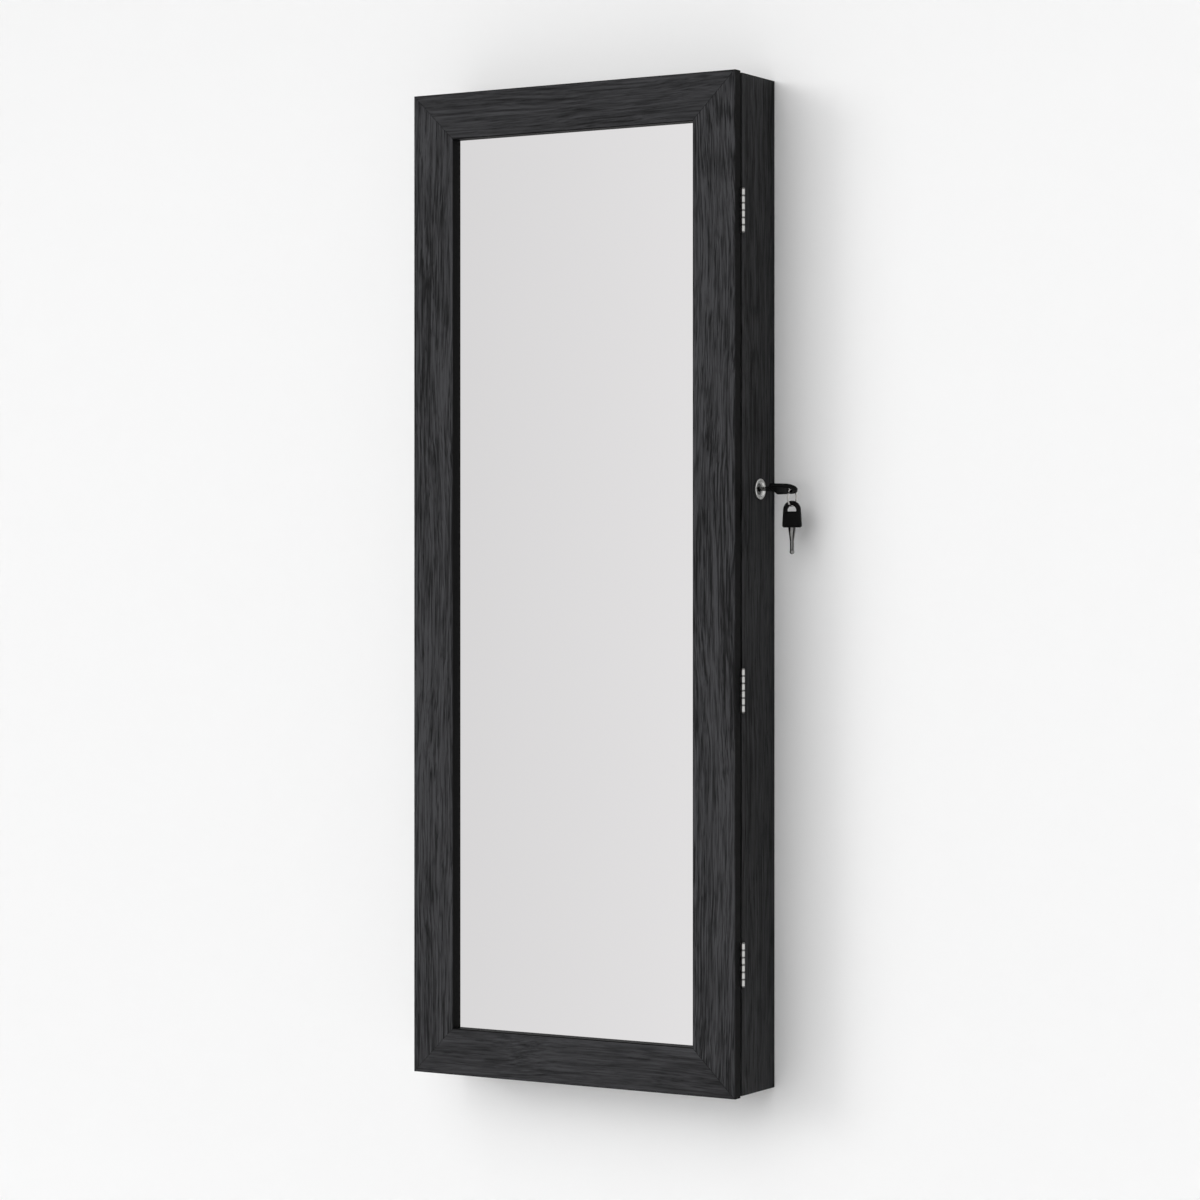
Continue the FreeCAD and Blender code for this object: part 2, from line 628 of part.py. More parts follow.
def lock_housing():
    """Round barrel with a flange and raised rim on the outer face."""
    start = Vector(BARREL_END, LOCK_Y, LOCK_Z)
    barrel = rod(LOCK_BARREL_DIAMETER, LOCK_BARREL_LENGTH, start, X_AXIS)
    face = Vector(BODY_X, LOCK_Y, LOCK_Z)
    height = LOCK_FLANGE_THICKNESS + LOCK_RIM_HEIGHT
    flange = rod(LOCK_FLANGE_DIAMETER, height, face, X_AXIS)
    dish = rod(LOCK_FLANGE_DIAMETER - 2 * LOCK_RIM_WIDTH, height,
               face + Vector(LOCK_FLANGE_THICKNESS, 0, 0), X_AXIS)
    flange = flange.cut(dish)
    bore = rod(LOCK_PLUG_DIAMETER + 2 * PLUG_RUNNING_FIT, 3 * LOCK_BARREL_LENGTH,
               start - Vector(LOCK_BARREL_LENGTH, 0, 0), X_AXIS)
    return barrel.fuse(flange).cut(bore).removeSplitter()


def lock_nut():
    """Ring nut that clamps the barrel to the side board."""
    start = Vector(INNER_X - LOCK_NUT_THICKNESS, LOCK_Y, LOCK_Z)
    nut = rod(LOCK_NUT_DIAMETER, LOCK_NUT_THICKNESS, start, X_AXIS)
    return nut.cut(rod(LOCK_BARREL_DIAMETER, LOCK_NUT_THICKNESS, start, X_AXIS))


def lock_cylinder():
    """Turning plug with the keyway, shown in line with the key's bow."""
    plug = rod(LOCK_PLUG_DIAMETER, PLUG_FACE - PLUG_END, Vector(PLUG_END, LOCK_Y, LOCK_Z), X_AXIS)
    floor = PLUG_FACE - KEY_BORE_DEPTH
    bore = rod(KEY_BORE_DIAMETER, KEY_BORE_DEPTH, Vector(floor, LOCK_Y, LOCK_Z), X_AXIS)
    slot = block(floor, PLUG_FACE, LOCK_Y - KEYWAY_WIDTH / 2, LOCK_Y + KEYWAY_WIDTH / 2,
                 LOCK_Z - KEYWAY_HEIGHT / 2, LOCK_Z + KEYWAY_HEIGHT / 2)
    screw_hole = rod(CAM_SCREW_DIAMETER + 2 * SCREW_PLAY, CAM_SCREW_DEPTH,
                     Vector(PLUG_END, LOCK_Y, LOCK_Z), X_AXIS)
    return plug.cut(bore).cut(about_lock(slot, -KEY_TILT)).cut(screw_hole)


def lock_cam():
    """Hooked cam, hanging down when unlocked, its finger towards the door."""
    hub = rod(CAM_HUB_DIAMETER, CAM_THICKNESS, Vector(CAM_BACK, LOCK_Y, LOCK_Z), X_AXIS)
    arm = block(CAM_BACK, PLUG_END, LOCK_Y - CAM_ARM_WIDTH / 2, LOCK_Y + CAM_ARM_WIDTH / 2,
                LOCK_Z - CAM_REACH, LOCK_Z)
    finger = block(CAM_BACK, PLUG_END, LOCK_Y - CAM_ARM_WIDTH / 2 - CAM_FINGER_RISE, LOCK_Y,
                   LOCK_Z - CAM_REACH, LOCK_Z - CAM_REACH + CAM_FINGER_WIDTH)
    hole = rod(CAM_SCREW_DIAMETER + 2 * SCREW_PLAY, CAM_THICKNESS,
               Vector(CAM_BACK, LOCK_Y, LOCK_Z), X_AXIS)
    return hub.fuse(arm).fuse(finger).cut(hole).removeSplitter()


def cam_screw():
    """Screw that holds the cam on the plug."""
    head = rod(CAM_SCREW_HEAD, CAM_SCREW_HEAD_HEIGHT,
               Vector(CAM_BACK - CAM_SCREW_HEAD_HEIGHT, LOCK_Y, LOCK_Z), X_AXIS)
    shank = rod(CAM_SCREW_DIAMETER, CAM_THICKNESS + CAM_SCREW_DEPTH - SCREW_PLAY,
                Vector(CAM_BACK, LOCK_Y, LOCK_Z), X_AXIS)
    return head.fuse(shank).removeSplitter()


# ---- keeper on the door ---------------------------------------------------------------------------------
KEEPER_MIDDLE = (CAM_BACK + PLUG_END) / 2
KEEPER_SHELF_Z = LOCK_Z + CAM_ARM_WIDTH / 2 + CAM_FINGER_RISE + KEEPER_SHELF_CLEARANCE
KEEPER_LIP_Y = LOCK_Y - CAM_REACH + CAM_FINGER_WIDTH + KEEPER_CLEARANCE


def keeper_screw_places():
    middle = KEEPER_SHELF_Z + KEEPER_SHEET + (KEEPER_FOOT - KEEPER_SHEET) / 2
    y = DOOR_BACK + KEEPER_SHEET
    return [(Vector(KEEPER_MIDDLE, y, middle + end * KEEPER_SCREW_PITCH / 2), -Y_AXIS) for end in (-1, 1)]


def keeper_screws(play):
    """Two countersunk screws, or with play the holes for them."""
    return group([countersunk_screw(HINGE_SCREW_HEAD + 2 * play, HINGE_SCREW_DIAMETER + 2 * play,
                                    HINGE_SCREW_LENGTH + play, start, axis)
                  for start, axis in keeper_screw_places()])


def keeper():
    """Bent plate on the door; the cam's finger turns up in front of its lip."""
    x0 = KEEPER_MIDDLE - KEEPER_WIDTH / 2
    x1 = KEEPER_MIDDLE + KEEPER_WIDTH / 2
    z0 = KEEPER_SHELF_Z
    foot = block(x0, x1, DOOR_BACK, DOOR_BACK + KEEPER_SHEET, z0, z0 + KEEPER_FOOT)
    shelf_plate = block(x0, x1, DOOR_BACK, KEEPER_LIP_Y + KEEPER_SHEET, z0, z0 + KEEPER_SHEET)
    lip_foot = LOCK_Z + CAM_ARM_WIDTH / 2 + KEEPER_SHELF_CLEARANCE / 2
    lip = block(x0, x1, KEEPER_LIP_Y, KEEPER_LIP_Y + KEEPER_SHEET, lip_foot, z0)
    plate = foot.fuse(shelf_plate).fuse(lip).cut(keeper_screws(SCREW_PLAY))
    return plate.removeSplitter()


# ---- keys, drawn along +X with the bow's base at x = 0 ------------------------------------------------------
def bow_outline():
    """Bell-shaped outline of the plastic bow."""
    base, side, corner = 0.0, BOW_HALF_WIDTH, BOW_CORNER
    bend = corner * (1 - math.cos(math.pi / 4))
    left = Vector(base, side - corner, 0)
    left_corner = Vector(base + bend, side - bend, 0)
    left_side = Vector(corner, side, 0)
    left_shoulder = Vector(BOW_SHOULDER, BOW_SHOULDER_HALF_WIDTH, 0)
    crown = Vector(BOW_LENGTH, 0, 0)

    def mirrored(point):
        return Vector(point.x, -point.y, 0)

    edges = [
        Part.makeLine(mirrored(left), left),
        Part.Arc(left, left_corner, left_side).toShape(),
        Part.makeLine(left_side, left_shoulder),
        Part.Arc(left_shoulder, crown, mirrored(left_shoulder)).toShape(),
        Part.makeLine(mirrored(left_shoulder), mirrored(left_side)),
        Part.Arc(mirrored(left_side), mirrored(left_corner), mirrored(left)).toShape(),
    ]
    return Part.Wire(edges)


def bow_hole_outline():
    """Hole with a flat base and an arched top."""
    half, spring = BOW_HOLE_HALF_WIDTH, BOW_HOLE_SPRING
    crown = Vector(BOW_LENGTH - BOW_BRIDGE, 0, 0)
    edges = [
        Part.makeLine(Vector(BOW_HOLE_BASE, -half, 0), Vector(BOW_HOLE_BASE, half, 0)),
        Part.makeLine(Vector(BOW_HOLE_BASE, half, 0), Vector(spring, half, 0)),
        Part.Arc(Vector(spring, half, 0), crown, Vector(spring, -half, 0)).toShape(),
        Part.makeLine(Vector(spring, -half, 0), Vector(BOW_HOLE_BASE, -half, 0)),
    ]
    return Part.Wire(edges)


def blade_blank():
    """Flat blade with a wide shoulder, a narrow end and a round tip."""
    wide, narrow = BLADE_SHOULDER_WIDTH / 2, BLADE_WIDTH / 2
    taper = BLADE_SHOULDER_LENGTH + BLADE_TAPER_LENGTH
    end = BLADE_LENGTH - KEY_TIP_DIAMETER / 2
    half = [(BLADE_TANG, wide), (-BLADE_SHOULDER_LENGTH, wide), (-taper, narrow), (-end, narrow)]
    points = [Vector(x, y, -BLADE_THICKNESS / 2) for x, y in half]
    points += [Vector(x, -y, -BLADE_THICKNESS / 2) for x, y in reversed(half)]
    flat = prism(points, Vector(0, 0, BLADE_THICKNESS))
    ball = Part.makeSphere(KEY_TIP_DIAMETER / 2, Vector(-end, 0, 0), X_AXIS)
    return flat.fuse(ball).removeSplitter()


def bow_blank():
    """Plastic bow, rounded along its outer edges, with the tang's pocket."""
    lift = Vector(0, 0, -BOW_THICKNESS / 2)
    outline = bow_outline()
    outline.translate(lift)
    bow = Part.Face(outline).extrude(Vector(0, 0, BOW_THICKNESS))
    rims = [e for e in bow.Edges if abs(abs(e.CenterOfMass.z) - BOW_THICKNESS / 2) < 1e-6]
    bow = bow.makeFillet(BOW_ROUND, rims)
    hole = bow_hole_outline()
    hole.translate(lift)
    bow = bow.cut(Part.Face(hole).extrude(Vector(0, 0, BOW_THICKNESS)))
    return bow.cut(blade_blank()).removeSplitter()


def inserted(blank):
    """Place a key piece in the lock, tilted about the lock's axis."""
    placed = blank.copy()
    placed.translate(Vector(KEY_BASE, LOCK_Y, LOCK_Z))
    return about_lock(placed, -KEY_TILT)


def hung(blank):
    """Place a key piece on the ring, blade down."""
    placed = blank.copy()
    placed.rotate(Vector(0, 0, 0), X_AXIS, 90)
    placed.rotate(Vector(0, 0, 0), Y_AXIS, -90)
    drop = SPARE_KEY_DROP - (BOW_LENGTH - BOW_BRIDGE)
    placed.translate(Vector(RING_X, RING_Y, SPARE_PIVOT_Z + drop))
    return placed


def split_ring():
    """Flat-wound key ring, in the plane across the key."""
    centre = Vector(RING_X, RING_Y, RING_Z)
    start = centre - Vector(RING_AXIAL / 2, 0, 0)
    outer = rod(2 * RING_MEAN_RADIUS + RING_RADIAL, RING_AXIAL, start, X_AXIS)
    inner = rod(2 * RING_MEAN_RADIUS - RING_RADIAL, RING_AXIAL, start, X_AXIS)
    ring = outer.cut(inner)
    return ring.makeFillet(RING_EDGE_ROUND, [e for e in ring.Edges if e.Closed])


# ---- door frame ---------------------------------------------------------------------------------------------
def frame_profile(half_length):
    """Section of a member as (across, y): outer edge, front, inner edge, rebate."""
    outer = half_length
    inner = half_length - FRAME_FACE
    return [
        (outer, DOOR_BACK), (outer, DOOR_FRONT + ARRIS), (outer - ARRIS, DOOR_FRONT),
        (inner + ARRIS, DOOR_FRONT), (inner, DOOR_FRONT + ARRIS), (inner, GLASS_FRONT),
        (inner + REBATE_LAP, GLASS_FRONT), (inner + REBATE_LAP, DOOR_BACK),
    ]


def stile(side):
    """Upright member, mitred at both ends."""
    profile = [Vector(side * x, y, -DOOR_Z) for x, y in frame_profile(DOOR_X)]
    bar = prism(profile, Vector(0, 0, DOOR_HEIGHT))
    outer, inner = DOOR_X, DOOR_X - FRAME_FACE
    mitre = [Vector(side * outer, DOOR_FRONT, -DOOR_Z), Vector(side * outer, DOOR_FRONT, DOOR_Z),
             Vector(side * inner, DOOR_FRONT, DOOR_Z - FRAME_FACE),
             Vector(side * inner, DOOR_FRONT, -DOOR_Z + FRAME_FACE)]
    bar = bar.common(prism(mitre, Vector(0, DOOR_THICKNESS, 0)))
    if side > 0:
        bar = bar.cut(hinge_screws(HINGE_CENTRES, door_screw_places, SCREW_PLAY))
        bar = bar.cut(keeper_screws(SCREW_PLAY))
    else:
        bar = bar.cut(strike_screw(SCREW_PLAY))
    return bar


def door_rail(end):
    """Level member, mitred at both ends."""
    profile = [Vector(-DOOR_X, y, end * z) for z, y in frame_profile(DOOR_Z)]
    bar = prism(profile, Vector(DOOR_WIDTH, 0, 0))
    mitre = [Vector(-DOOR_X, DOOR_FRONT, end * DOOR_Z), Vector(DOOR_X, DOOR_FRONT, end * DOOR_Z),
             Vector(DOOR_X - FRAME_FACE, DOOR_FRONT, end * (DOOR_Z - FRAME_FACE)),
             Vector(-DOOR_X + FRAME_FACE, DOOR_FRONT, end * (DOOR_Z - FRAME_FACE))]
    return bar.common(prism(mitre, Vector(0, DOOR_THICKNESS, 0)))


REBATE_X = DOOR_X - FRAME_FACE + REBATE_LAP
REBATE_Z = DOOR_Z - FRAME_FACE + REBATE_LAP


def mirror_glass():
    half_x, half_z = REBATE_X - GLASS_PLAY, REBATE_Z - GLASS_PLAY
    return block(-half_x, half_x, GLASS_FRONT, GLASS_BACK, -half_z, half_z)


def mirror_backing():
    """Board behind the glass, flush with the frame's back."""
    half_x, half_z = REBATE_X - GLASS_PLAY, REBATE_Z - GLASS_PLAY
    return block(-half_x, half_x, GLASS_BACK, DOOR_BACK, -half_z, half_z)


DOOR_LINING_X = REBATE_X + DOOR_LINING_LAP
DOOR_LINING_Z = REBATE_Z + DOOR_LINING_LAP
DOOR_LINING_BACK = DOOR_BACK + DOOR_LINING_THICKNESS


def door_lining():
    """Velvet-covered board over the backing, glued to the frame's back."""
    return block(-DOOR_LINING_X, DOOR_LINING_X, DOOR_BACK, DOOR_LINING_BACK,
                 -DOOR_LINING_Z, DOOR_LINING_Z)


DOOR_RAIL_TOP = DOOR_Z - DOOR_RAIL_DROP
DOOR_RAIL_BACK = DOOR_LINING_BACK + DOOR_RAIL_THICKNESS
DOOR_HOOK_Z = DOOR_RAIL_TOP - DOOR_RAIL_HEIGHT / 2


def door_hook_rail():
    """Hook rail on the inside of the door."""
    rail = block(-DOOR_RAIL_WIDTH / 2, DOOR_RAIL_WIDTH / 2, DOOR_LINING_BACK, DOOR_RAIL_BACK,
                 DOOR_RAIL_TOP - DOOR_RAIL_HEIGHT, DOOR_RAIL_TOP)
    bores = [rod(HOOK_WIRE + 2 * SCREW_PLAY, HOOK_SEAT, Vector(x, DOOR_RAIL_BACK, DOOR_HOOK_Z), -Y_AXIS)
             for x in hook_row(DOOR_HOOK_COUNT)]
    return rail.cut(group(bores))


def door_hooks():
    return group([wire_hook(x, DOOR_RAIL_BACK, DOOR_HOOK_Z, 1, DOOR_HOOK_REACH)
                  for x in hook_row(DOOR_HOOK_COUNT)])


# ---- magnetic catch and bumpers --------------------------------------------------------------------------------
CATCH_Z = INNER_Z - CATCH_DROP
STRIKE_FACE = DOOR_BACK + STRIKE_THICKNESS
CATCH_FRONT = STRIKE_FACE + CATCH_TO_STRIKE


def catch_housing():
    """Plastic case on the left side board, around the magnet."""
    x0, x1 = -INNER_X, -INNER_X + CATCH_WIDTH
    case = block(x0, x1, CATCH_FRONT, CATCH_FRONT + CATCH_DEPTH,
                 CATCH_Z - CATCH_HEIGHT / 2, CATCH_Z + CATCH_HEIGHT / 2)
    return case.cut(catch_magnet())


def catch_magnet():
    x0, x1 = -INNER_X + MAGNET_THICKNESS, -INNER_X + CATCH_WIDTH - MAGNET_MARGIN
    return block(x0, x1, CATCH_FRONT, CATCH_FRONT + CATCH_DEPTH - MAGNET_MARGIN,
                 CATCH_Z - CATCH_HEIGHT / 2 + MAGNET_MARGIN, CATCH_Z + CATCH_HEIGHT / 2 - MAGNET_MARGIN)


def strike_screw(play):
    """Countersunk screw that holds the strike plate, or its hole."""
    start = Vector(-INNER_X + CATCH_WIDTH / 2, STRIKE_FACE, CATCH_Z)
    return countersunk_screw(HINGE_SCREW_HEAD + 2 * play, HINGE_SCREW_DIAMETER + 2 * play,
                             HINGE_SCREW_LENGTH + play, start, -Y_AXIS)


def strike_plate():
    """Steel plate on the door that the magnet holds."""
    x0 = -INNER_X + (CATCH_WIDTH - STRIKE_WIDTH) / 2
    plate = block(x0, x0 + STRIKE_WIDTH, DOOR_BACK, STRIKE_FACE,
                  CATCH_Z - STRIKE_HEIGHT / 2, CATCH_Z + STRIKE_HEIGHT / 2)
    return plate.cut(strike_screw(SCREW_PLAY))


def door_bumpers():
    """Soft dots on the box's front edge that the closed door rests against."""
    x = -(INNER_X + BODY_X) / 2
    reach = DOOR_GAP - BUMPER_CLEARANCE
    return group([rod(BUMPER_DIAMETER, reach, Vector(x, BODY_FRONT, end * (BODY_Z - BUMPER_FROM_END)), -Y_AXIS)
                  for end in (-1, 1)])


# ---- all nodes -------------------------------------------------------------------------------------------------------
def nodes():
    """Every separate piece, by node name."""
    parts = {
        "side_board_left": side_board(-1),
        "side_board_right": side_board(1),
        "top_board": end_board(1),
        "bottom_board": end_board(-1),
        "back_board": back_board(),
        "hanging_rail_top": hanging_rail(1),
        "hanging_rail_bottom": hanging_rail(-1),
        "corner_dowels": corner_dowels(),
        "back_lining": back_lining(),
        "shelf_pins": shelf_pins(),
        "floor_fence": fence(-INNER_Z),
        "necklace_rail": necklace_rail(),
        "necklace_hooks": necklace_hooks(),
        "earring_board": earring_board(),
        "earring_battens": earring_battens(),
        "bracelet_bar": bracelet_bar(),
        "bracelet_sockets": bracelet_sockets(),
        "ring_tray": ring_tray(),
        "ring_rolls": ring_rolls(),
        "catch_housing": catch_housing(),
        "catch_magnet": catch_magnet(),
        "door_bumpers": door_bumpers(),
        "hinge_screws_body": hinge_screws(HINGE_CENTRES, body_screw_places, 0),
        "lock_housing": lock_housing(),
        "lock_nut": lock_nut(),
        "lock_cylinder": lock_cylinder(),
        "lock_cam": lock_cam(),
        "cam_screw": cam_screw(),
        "key_blade": inserted(blade_blank()),
        "key_bow": inserted(bow_blank()),
        "split_ring": split_ring(),
        "spare_key_blade": hung(blade_blank()),
        "spare_key_bow": hung(bow_blank()),
        "door_stile_left": stile(-1),
        "door_stile_right": stile(1),
        "door_rail_top": door_rail(1),
        "door_rail_bottom": door_rail(-1),
        "mirror_glass": mirror_glass(),
        "mirror_backing": mirror_backing(),
        "door_lining": door_lining(),
        "door_hook_rail": door_hook_rail(),
        "door_hooks": door_hooks(),
        "hinge_screws_door": hinge_screws(HINGE_CENTRES, door_screw_places, 0),
        "strike_plate": strike_plate(),
        "keeper": keeper(),
        "plate_screws": group(strike_screw(0).Solids + keeper_screws(0).Solids),
        "hinge_pins": group([hinge_pin(centre) for centre in HINGE_CENTRES.values()]),
    }
    for name, floor in SHELF_FLOORS.items():
        parts["shelf_" + name] = shelf(floor)
        parts["fence_" + name] = fence(floor + SHELF_THICKNESS)
    for name, centre in HINGE_CENTRES.items():
        parts["hinge_body_leaf_" + name] = body_leaf(centre)
        parts["hinge_door_leaf_" + name] = door_leaf(centre)
    return parts


os.makedirs("parts", exist_ok=True)
for node_name, node_shape in nodes().items():
    node_shape.exportStep("parts/" + node_name + ".step")
    print(node_name, len(node_shape.Solids), round(node_shape.Volume, 1), node_shape.isValid())
print("hinge axis", HINGE_X, HINGE_Y)
print("lock axis", LOCK_Y, LOCK_Z, "cam", CAM_BACK, PLUG_END)
print("ring", RING_X, RING_Y, RING_Z, "rim", RIM_Z, "drop", RING_DROP)
print("spare pivot", SPARE_PIVOT_Z, "wall screws", WALL_SCREW_SPACING, 2 * WALL_SCREW_ROW)
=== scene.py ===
import math
import bmesh
import bpy
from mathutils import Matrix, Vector, geometry


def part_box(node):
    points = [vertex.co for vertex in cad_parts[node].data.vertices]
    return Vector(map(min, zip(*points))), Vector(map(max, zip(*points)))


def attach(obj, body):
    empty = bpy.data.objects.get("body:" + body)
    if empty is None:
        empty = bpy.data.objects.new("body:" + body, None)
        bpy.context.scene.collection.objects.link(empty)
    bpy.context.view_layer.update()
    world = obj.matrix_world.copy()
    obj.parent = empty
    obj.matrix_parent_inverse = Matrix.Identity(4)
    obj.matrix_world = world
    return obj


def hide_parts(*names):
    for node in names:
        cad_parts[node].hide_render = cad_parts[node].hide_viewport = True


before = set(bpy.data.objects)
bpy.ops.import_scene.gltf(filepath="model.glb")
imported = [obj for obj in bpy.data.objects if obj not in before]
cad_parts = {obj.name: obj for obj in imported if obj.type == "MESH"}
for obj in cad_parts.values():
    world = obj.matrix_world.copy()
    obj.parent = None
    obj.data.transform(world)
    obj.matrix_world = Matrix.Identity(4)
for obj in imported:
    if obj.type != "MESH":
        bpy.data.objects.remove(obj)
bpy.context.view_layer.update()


# ---- Camera ----------------------------------------------------------------
# A level camera to the right of the cabinet, as high as its middle. The lens,
# the turn and the distance come from the door's four converging edges.
DOOR_LOW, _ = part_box("door_stile_left")
_, DOOR_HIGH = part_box("door_stile_right")
DOOR_HEIGHT = DOOR_HIGH.z - DOOR_LOW.z
PHOTO_WIDTH = 1200
FOCAL_PIXELS = 3428.0
HORIZON_ROW = 574.7
CAMERA_TURN = math.radians(30.613)
EDGE_ACROSS = 0.13094 * DOOR_HEIGHT    # door's near upright edge, right of the view axis
EDGE_AHEAD = 3.32618 * DOOR_HEIGHT     # the same edge, ahead of the camera
EYE_OVER_DOOR_FOOT = 0.5094 * DOOR_HEIGHT


def added(name, data):
    """New object in the scene, made of a mesh, a lamp or a camera."""
    thing = bpy.data.objects.new(name, data)
    bpy.context.scene.collection.objects.link(thing)
    return thing


right_way = Vector((math.cos(CAMERA_TURN), math.sin(CAMERA_TURN), 0))
ahead_way = Vector((-math.sin(CAMERA_TURN), math.cos(CAMERA_TURN), 0))
near_edge = Vector((DOOR_HIGH.x, DOOR_LOW.y, DOOR_LOW.z + EYE_OVER_DOOR_FOOT))
camera = added("camera", bpy.data.cameras.new("camera"))
camera.data.sensor_width = 36.0
camera.data.lens = FOCAL_PIXELS / PHOTO_WIDTH * camera.data.sensor_width
camera.data.shift_y = (HORIZON_ROW - PHOTO_WIDTH / 2) / PHOTO_WIDTH
camera.location = near_edge - EDGE_ACROSS * right_way - EDGE_AHEAD * ahead_way
camera.rotation_euler = (math.pi / 2, 0, CAMERA_TURN)
bpy.context.scene.camera = camera
bpy.context.scene.view_settings.view_transform = "Standard"


# ---- Wall, floor and light -------------------------------------------------
# The cabinet hangs on a pale wall over a pale floor. Both show from the front
# only. A gap behind the cabinet, filled for the camera alone, lets light reach
# its back.
WALL_COLOUR = (0.94, 0.94, 0.94, 1)
WALL_GAP = 0.0005
FLOOR_DROP = 0.28
STAGE_REACH = 4.0
GAP_INSET = 0.008           # from the cabinet's outline to the gap in the wall
SKY_STRENGTH = 0.10
BACKDROP_LEVEL = 0.93
SHADE_FROM = -0.56          # sideways part of the way in which the mirrored backdrop turns lighter
SHADE_TO = -0.46
SHADE_HALF_STEP = 0.075


class Flow:
    """A node's output socket. Sums and products of flows add Math nodes."""

    def __init__(self, tree, socket=None):
        self.tree = tree
        self.socket = socket

    def feed(self, target, value):
        """Link a flow to an input, or set the input to a plain value."""
        if isinstance(value, Flow):
            self.tree.links.new(value.socket, target)
        else:
            target.default_value = value

    def node(self, kind, settings, inputs, output=0):
        """Any node, with its settings, then the values or flows of its inputs."""
        made = self.tree.nodes.new(kind)
        for name, value in settings.items():
            setattr(made, name, value)
        for name, value in inputs.items():
            self.feed(made.inputs[name], value)
        return Flow(self.tree, made.outputs[output])

    def math(self, operation, first, second):
        return self.node("ShaderNodeMath", {"operation": operation}, {0: first, 1: second})

    def __add__(self, other):
        return self.math("ADD", self, other)

    def __radd__(self, other):
        return self.math("ADD", other, self)

    def __sub__(self, other):
        return self.math("SUBTRACT", self, other)

    def __rsub__(self, other):
        return self.math("SUBTRACT", other, self)

    def __mul__(self, other):
        return self.math("MULTIPLY", self, other)

    def __rmul__(self, other):
        return self.math("MULTIPLY", other, self)

    def blend(self, first, second):
        """Colour between two others, by this flow."""
        return self.node("ShaderNodeMix", {"data_type": "RGBA"}, {0: self, 6: first, 7: second}, 2)

    def stretched(self, low, high, start=0.0, end=1.0):
        """The range from low to high of this flow, laid over the range from start to end."""
        ends = {"From Min": low, "From Max": high, "To Min": start, "To Max": end}
        return self.node("ShaderNodeMapRange", {}, {"Value": self, **ends})

    def along(self, axis):
        """One axis of this flow of places or ways."""
        return self.node("ShaderNodeSeparateXYZ", {}, {"Vector": self}, axis)

    def clamped(self):
        return self.node("ShaderNodeClamp", {}, {"Value": self})

    def noise(self, scale, detail):
        """Noise in the space of this flow, from 0 to 1."""
        return self.node("ShaderNodeTexNoise", {}, {"Vector": self, "Scale": scale, "Detail": detail}, "Fac")

    def place(self):
        """Coordinates of the object that wears the material."""
        return self.node("ShaderNodeTexCoord", {}, {}, "Object")

    def emboss(self, shader, strength, depth):
        """Use this flow as a fine relief on a shader."""
        relief = {"Strength": strength, "Distance": depth, "Height": self}
        self.feed(shader.inputs["Normal"], self.node("ShaderNodeBump", {}, relief))


def one_sided(name, colour):
    """Matt paint that shows and casts shadow from its front only."""
    material = bpy.data.materials.new(name)
    material.use_nodes = True
    flow = Flow(material.node_tree)
    shader = material.node_tree.nodes["Principled BSDF"]
    shader.inputs["Base Color"].default_value = colour
    shader.inputs["Roughness"].default_value = 0.9
    shader.inputs["Specular IOR Level"].default_value = 0.1
    behind = flow.node("ShaderNodeNewGeometry", {}, {}, "Backfacing")
    clear = flow.node("ShaderNodeBsdfTransparent", {}, {})
    both = flow.node("ShaderNodeMixShader", {}, {0: behind, 1: Flow(flow.tree, shader.outputs[0]), 2: clear})
    flow.feed(material.node_tree.nodes["Material Output"].inputs["Surface"], both)
    return material


def stage_sheet(name, corners, material, faces=((0, 1, 2, 3),)):
    """Flat sheet that isn't part of the cabinet."""
    mesh = bpy.data.meshes.new(name)
    mesh.from_pydata(corners, [], faces)
    mesh.materials.append(material)
    sheet = added(name, mesh)
    return sheet


def on_wall(across, low, high):
    """Corners of a rectangle in the wall's plane."""
    return [(x, WALL_GAP, z) for x, z in ((-across, low), (across, low), (across, high), (-across, high))]


floor_z = DOOR_LOW.z - FLOOR_DROP
stage_paint = one_sided("stage_paint", WALL_COLOUR)
_, BOARD_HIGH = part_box("side_board_right")
gap_z = BOARD_HIGH.z - GAP_INSET
wall_edge = on_wall(STAGE_REACH, floor_z, STAGE_REACH)
gap_edge = on_wall(BOARD_HIGH.x - GAP_INSET, -gap_z, gap_z)
stage_sheet("wall", wall_edge + gap_edge, stage_paint,
            [(0, 1, 5, 4), (1, 2, 6, 5), (2, 3, 7, 6), (3, 0, 4, 7)])
wall_behind = stage_sheet("wall_behind", gap_edge, stage_paint)
wall_behind.visible_shadow = False
wall_behind.visible_diffuse = False
wall_behind.visible_glossy = False
ground = stage_sheet("floor", [(-STAGE_REACH, -STAGE_REACH, floor_z), (STAGE_REACH, -STAGE_REACH, floor_z),
                               (STAGE_REACH, STAGE_REACH, floor_z), (-STAGE_REACH, STAGE_REACH, floor_z)],
                     stage_paint)
ground.visible_glossy = False

world = bpy.data.worlds.new("studio")
world.use_nodes = True
bpy.context.scene.world = world
sky = Flow(world.node_tree)
seen = sky.node("ShaderNodeLightPath", {}, {}, "Is Camera Ray")
mirrored = sky.node("ShaderNodeLightPath", {}, {}, "Is Glossy Ray")
through = sky.node("ShaderNodeLightPath", {}, {}, "Is Transmission Ray")
shown = sky.math("MINIMUM", seen + mirrored + through, 1.0)
sideways = sky.node("ShaderNodeTexCoord", {}, {}, "Generated").along("X")
shade = sideways.stretched(SHADE_FROM, SHADE_TO, -SHADE_HALF_STEP, SHADE_HALF_STEP)
backdrop = world.node_tree.nodes["Background"]
backdrop.inputs["Color"].default_value = (1, 1, 1, 1)
sky.feed(backdrop.inputs["Strength"],
         SKY_STRENGTH + shown * (BACKDROP_LEVEL - SKY_STRENGTH) + mirrored * shade)


